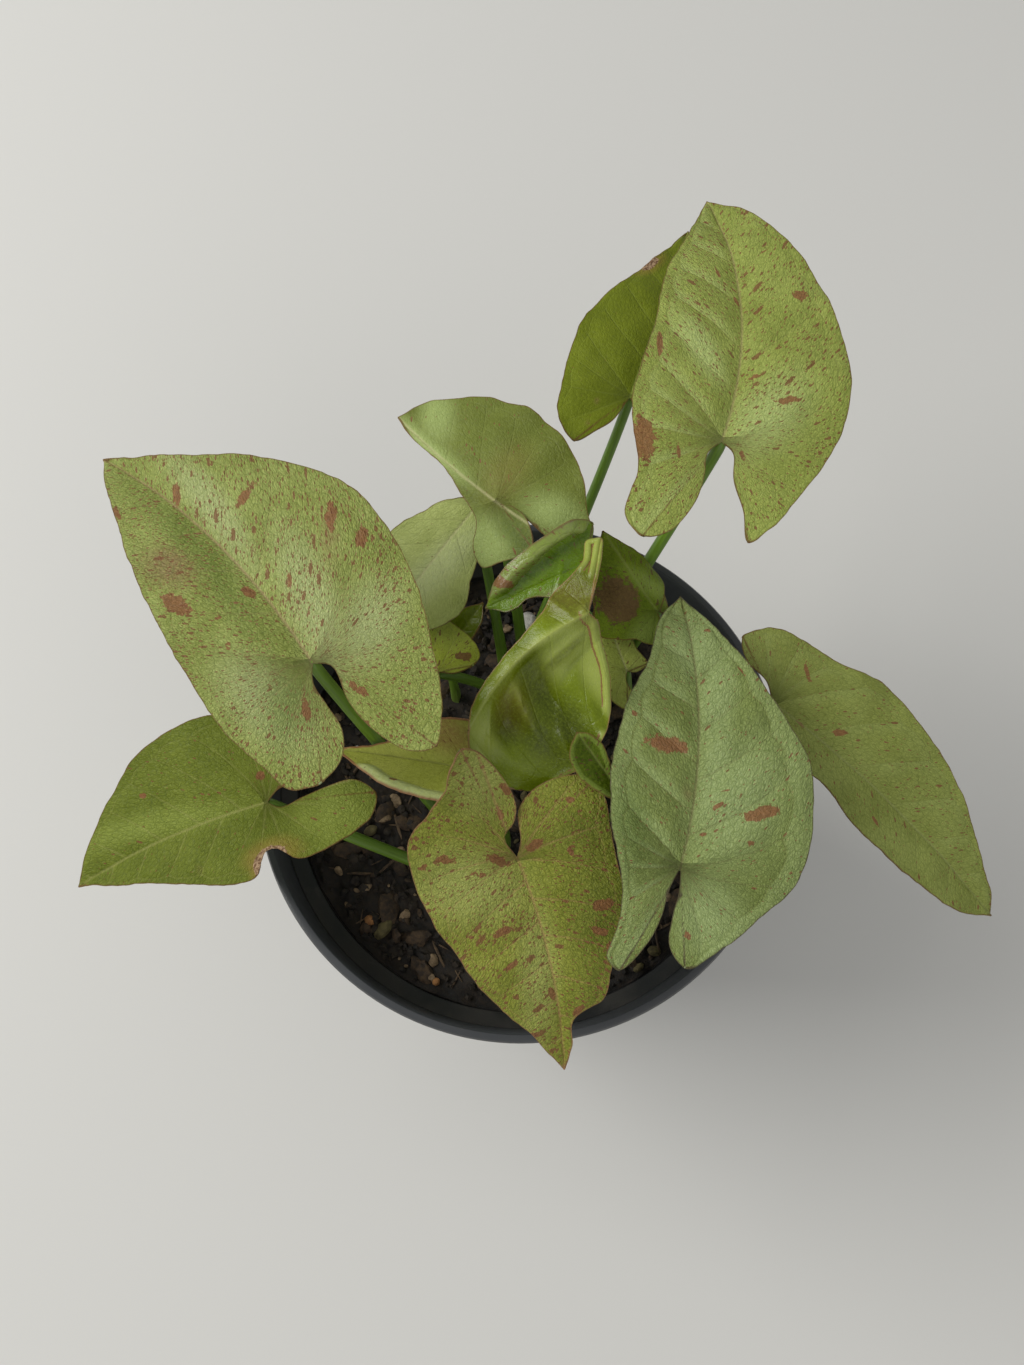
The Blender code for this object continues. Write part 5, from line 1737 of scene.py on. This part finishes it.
@dataclass
class Crown:
    """The short stub of stem that a clump of stalks grows round."""

    name: str
    place: Pair
    radius: float = 3.4
    foot: float = ROOTED
    top: float = 104.0
    rings: int = 60
    sides: int = 28

    def build(self) -> bpy.types.Object:
        """The stub, ringed with leaf scars and rounded at its top."""
        x, y = self.place
        heights = np.linspace(self.foot, self.top, 80)
        line = np.array([(x, y, height) for height in heights])
        share = (heights - self.foot) / (self.top - self.foot)
        radii = self.radius * np.sqrt(np.clip(1 - np.clip((share - 0.7) / 0.3, 0, 1) ** 2.2, 0, 1))
        radii[[0, -1]] = 0

        def ripple(along: Points, angle: Points) -> Points:
            """Rings of leaf scars, and knobs."""
            ring = np.abs(np.sin(np.pi * (along * 7 + 0.18 * np.sin(angle))))
            knob = rough(np.stack([along * 18, np.cos(angle) * 2, np.sin(angle) * 2], -1), 0.7, x)
            return 0.94 + 0.05 * ring ** 0.4 + 0.06 * knob

        crown = tube(self.name + "_stub", line, radii, self.rings, self.sides, ripple)
        graph = Skin(self.name + "_skin")
        along, _, _ = graph.parts(graph.field("along"))
        cloud = graph.noise(graph.place(), 350.0, 4.0, 0.65)
        colour = graph.mix(graph.spread(cloud, 0.35, 0.65), (0.12, 0.075, 0.03), (0.19, 0.22, 0.07))
        colour = graph.mix(graph.spread(along, 8.0, 19.0, 0.55, 0.0), colour, (0.05, 0.03, 0.015))
        skin = graph.finished(colour, graph.spread(cloud, 0.3, 0.7, 0.5, 0.7), cloud, 0.3)
        crown.data.materials.append(skin)
        smoothed(crown, 60)
        return crown


CROWNS = {"crown_front": (-4, -25), "crown_back": (6, 23), "crown_right": (31, -4)}


@dataclass
class Studio:
    """Floor, lights and camera."""

    focal: float = 1250.0
    image_height: float = 1365.0
    sensor: float = 36.0
    eye: Place = (-2.1, -60.0, 414.8)
    tilt: float = 15.17

    def camera(self) -> None:
        """A camera above the plant, leaning back a little, as in the photograph."""
        lens = bpy.data.cameras.new("camera")
        lens.sensor_width = self.sensor
        lens.lens = self.sensor * self.focal / self.image_height
        lens.clip_start, lens.clip_end = 0.01, 20
        made = bpy.data.objects.new("camera", lens)
        made.location = [v * MM for v in self.eye]
        made.rotation_euler = (math.radians(self.tilt), 0, 0)
        bpy.context.scene.collection.objects.link(made)
        bpy.context.scene.camera = made

    def floor(self) -> None:
        """A plain pale floor."""
        bpy.ops.object.select_all(action="DESELECT")
        bpy.ops.mesh.primitive_plane_add(size=8)
        floor = bpy.context.active_object
        floor.name = "floor"
        floor.data.materials.append(Skin("floor_white").finished((0.60, 0.59, 0.56, 1), 0.85))

    def lamp(self, name: str, place: Place, size: float, power: float, tint: Colour) -> None:
        """A square soft lamp that points at the plant.

        Args:
            name: Its name.
            place: Its place in metres.
            size: The length of its sides in metres.
            power: Its power in watts.
            tint: The colour of its light.
        """
        light = bpy.data.lights.new(name, "AREA")
        light.shape, light.size, light.energy, light.color = "SQUARE", size, power, tint
        made = bpy.data.objects.new(name, light)
        made.location = place
        aim = Vector((0, 0, 0.12)) - Vector(place)
        made.rotation_euler = aim.to_track_quat("-Z", "Y").to_euler()
        bpy.context.scene.collection.objects.link(made)

    def lights(self) -> None:
        """A large window-like lamp from the left, a weak one opposite, and an even sky."""
        self.lamp("window", (-0.95, 0.25, 0.95), 0.9, 15.0, (1.0, 1.0, 0.98))
        self.lamp("fill", (0.5, -0.9, 1.0), 1.2, 3.0, (1.0, 0.98, 0.94))
        world = bpy.data.worlds.new("studio")
        world.use_nodes = True
        back = world.node_tree.nodes["Background"]
        back.inputs["Color"].default_value = (0.97, 0.985, 1.0, 1)
        back.inputs["Strength"].default_value = 0.45
        bpy.context.scene.world = world
        bpy.context.scene.view_settings.view_transform = "Standard"

    def build(self) -> None:
        """Everything round the plant."""
        self.camera()
        self.floor()
        self.lights()


def keep(piece: bpy.types.Object, slot: Slot, *nodes: str) -> None:
    """Ties a finished piece to the part.

    Args:
        piece: The finished object.
        slot: The record's slot that its finish belongs to; not used.
        nodes: The solids that it stands for.
    """
    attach(piece, "root")
    if nodes:
        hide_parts(*nodes)
    LOG.info("%s: %d faces", piece.name, len(piece.data.polygons))


def main() -> None:
    """Builds the plant, piece by piece."""
    logging.basicConfig(level=logging.INFO, format="%(message)s")
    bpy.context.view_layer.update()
    Studio().build()
    keep(Pot().build(), Slot.POT, "pot")
    mix = PottingMix()
    keep(mix.bed(), Slot.MIX, "potting_mix")
    clear = [(*leaf.foot, leaf.stalk) for leaf in LEAVES]
    clear += [(*place, Crown.radius) for place in CROWNS.values()]
    for bits in BITS:
        keep(mix.scatter(bits, clear), Slot.MIX)
    for name, place in CROWNS.items():
        keep(Crown(name, place).build(), Slot.CROWN, name)
    stem = StalkFinish().material()
    for leaf in LEAVES:
        keep(LeafPiece(leaf, leaf.fineness).build(stem), leaf.finish.slot, leaf.name)


if __name__ == "__main__":
    main()
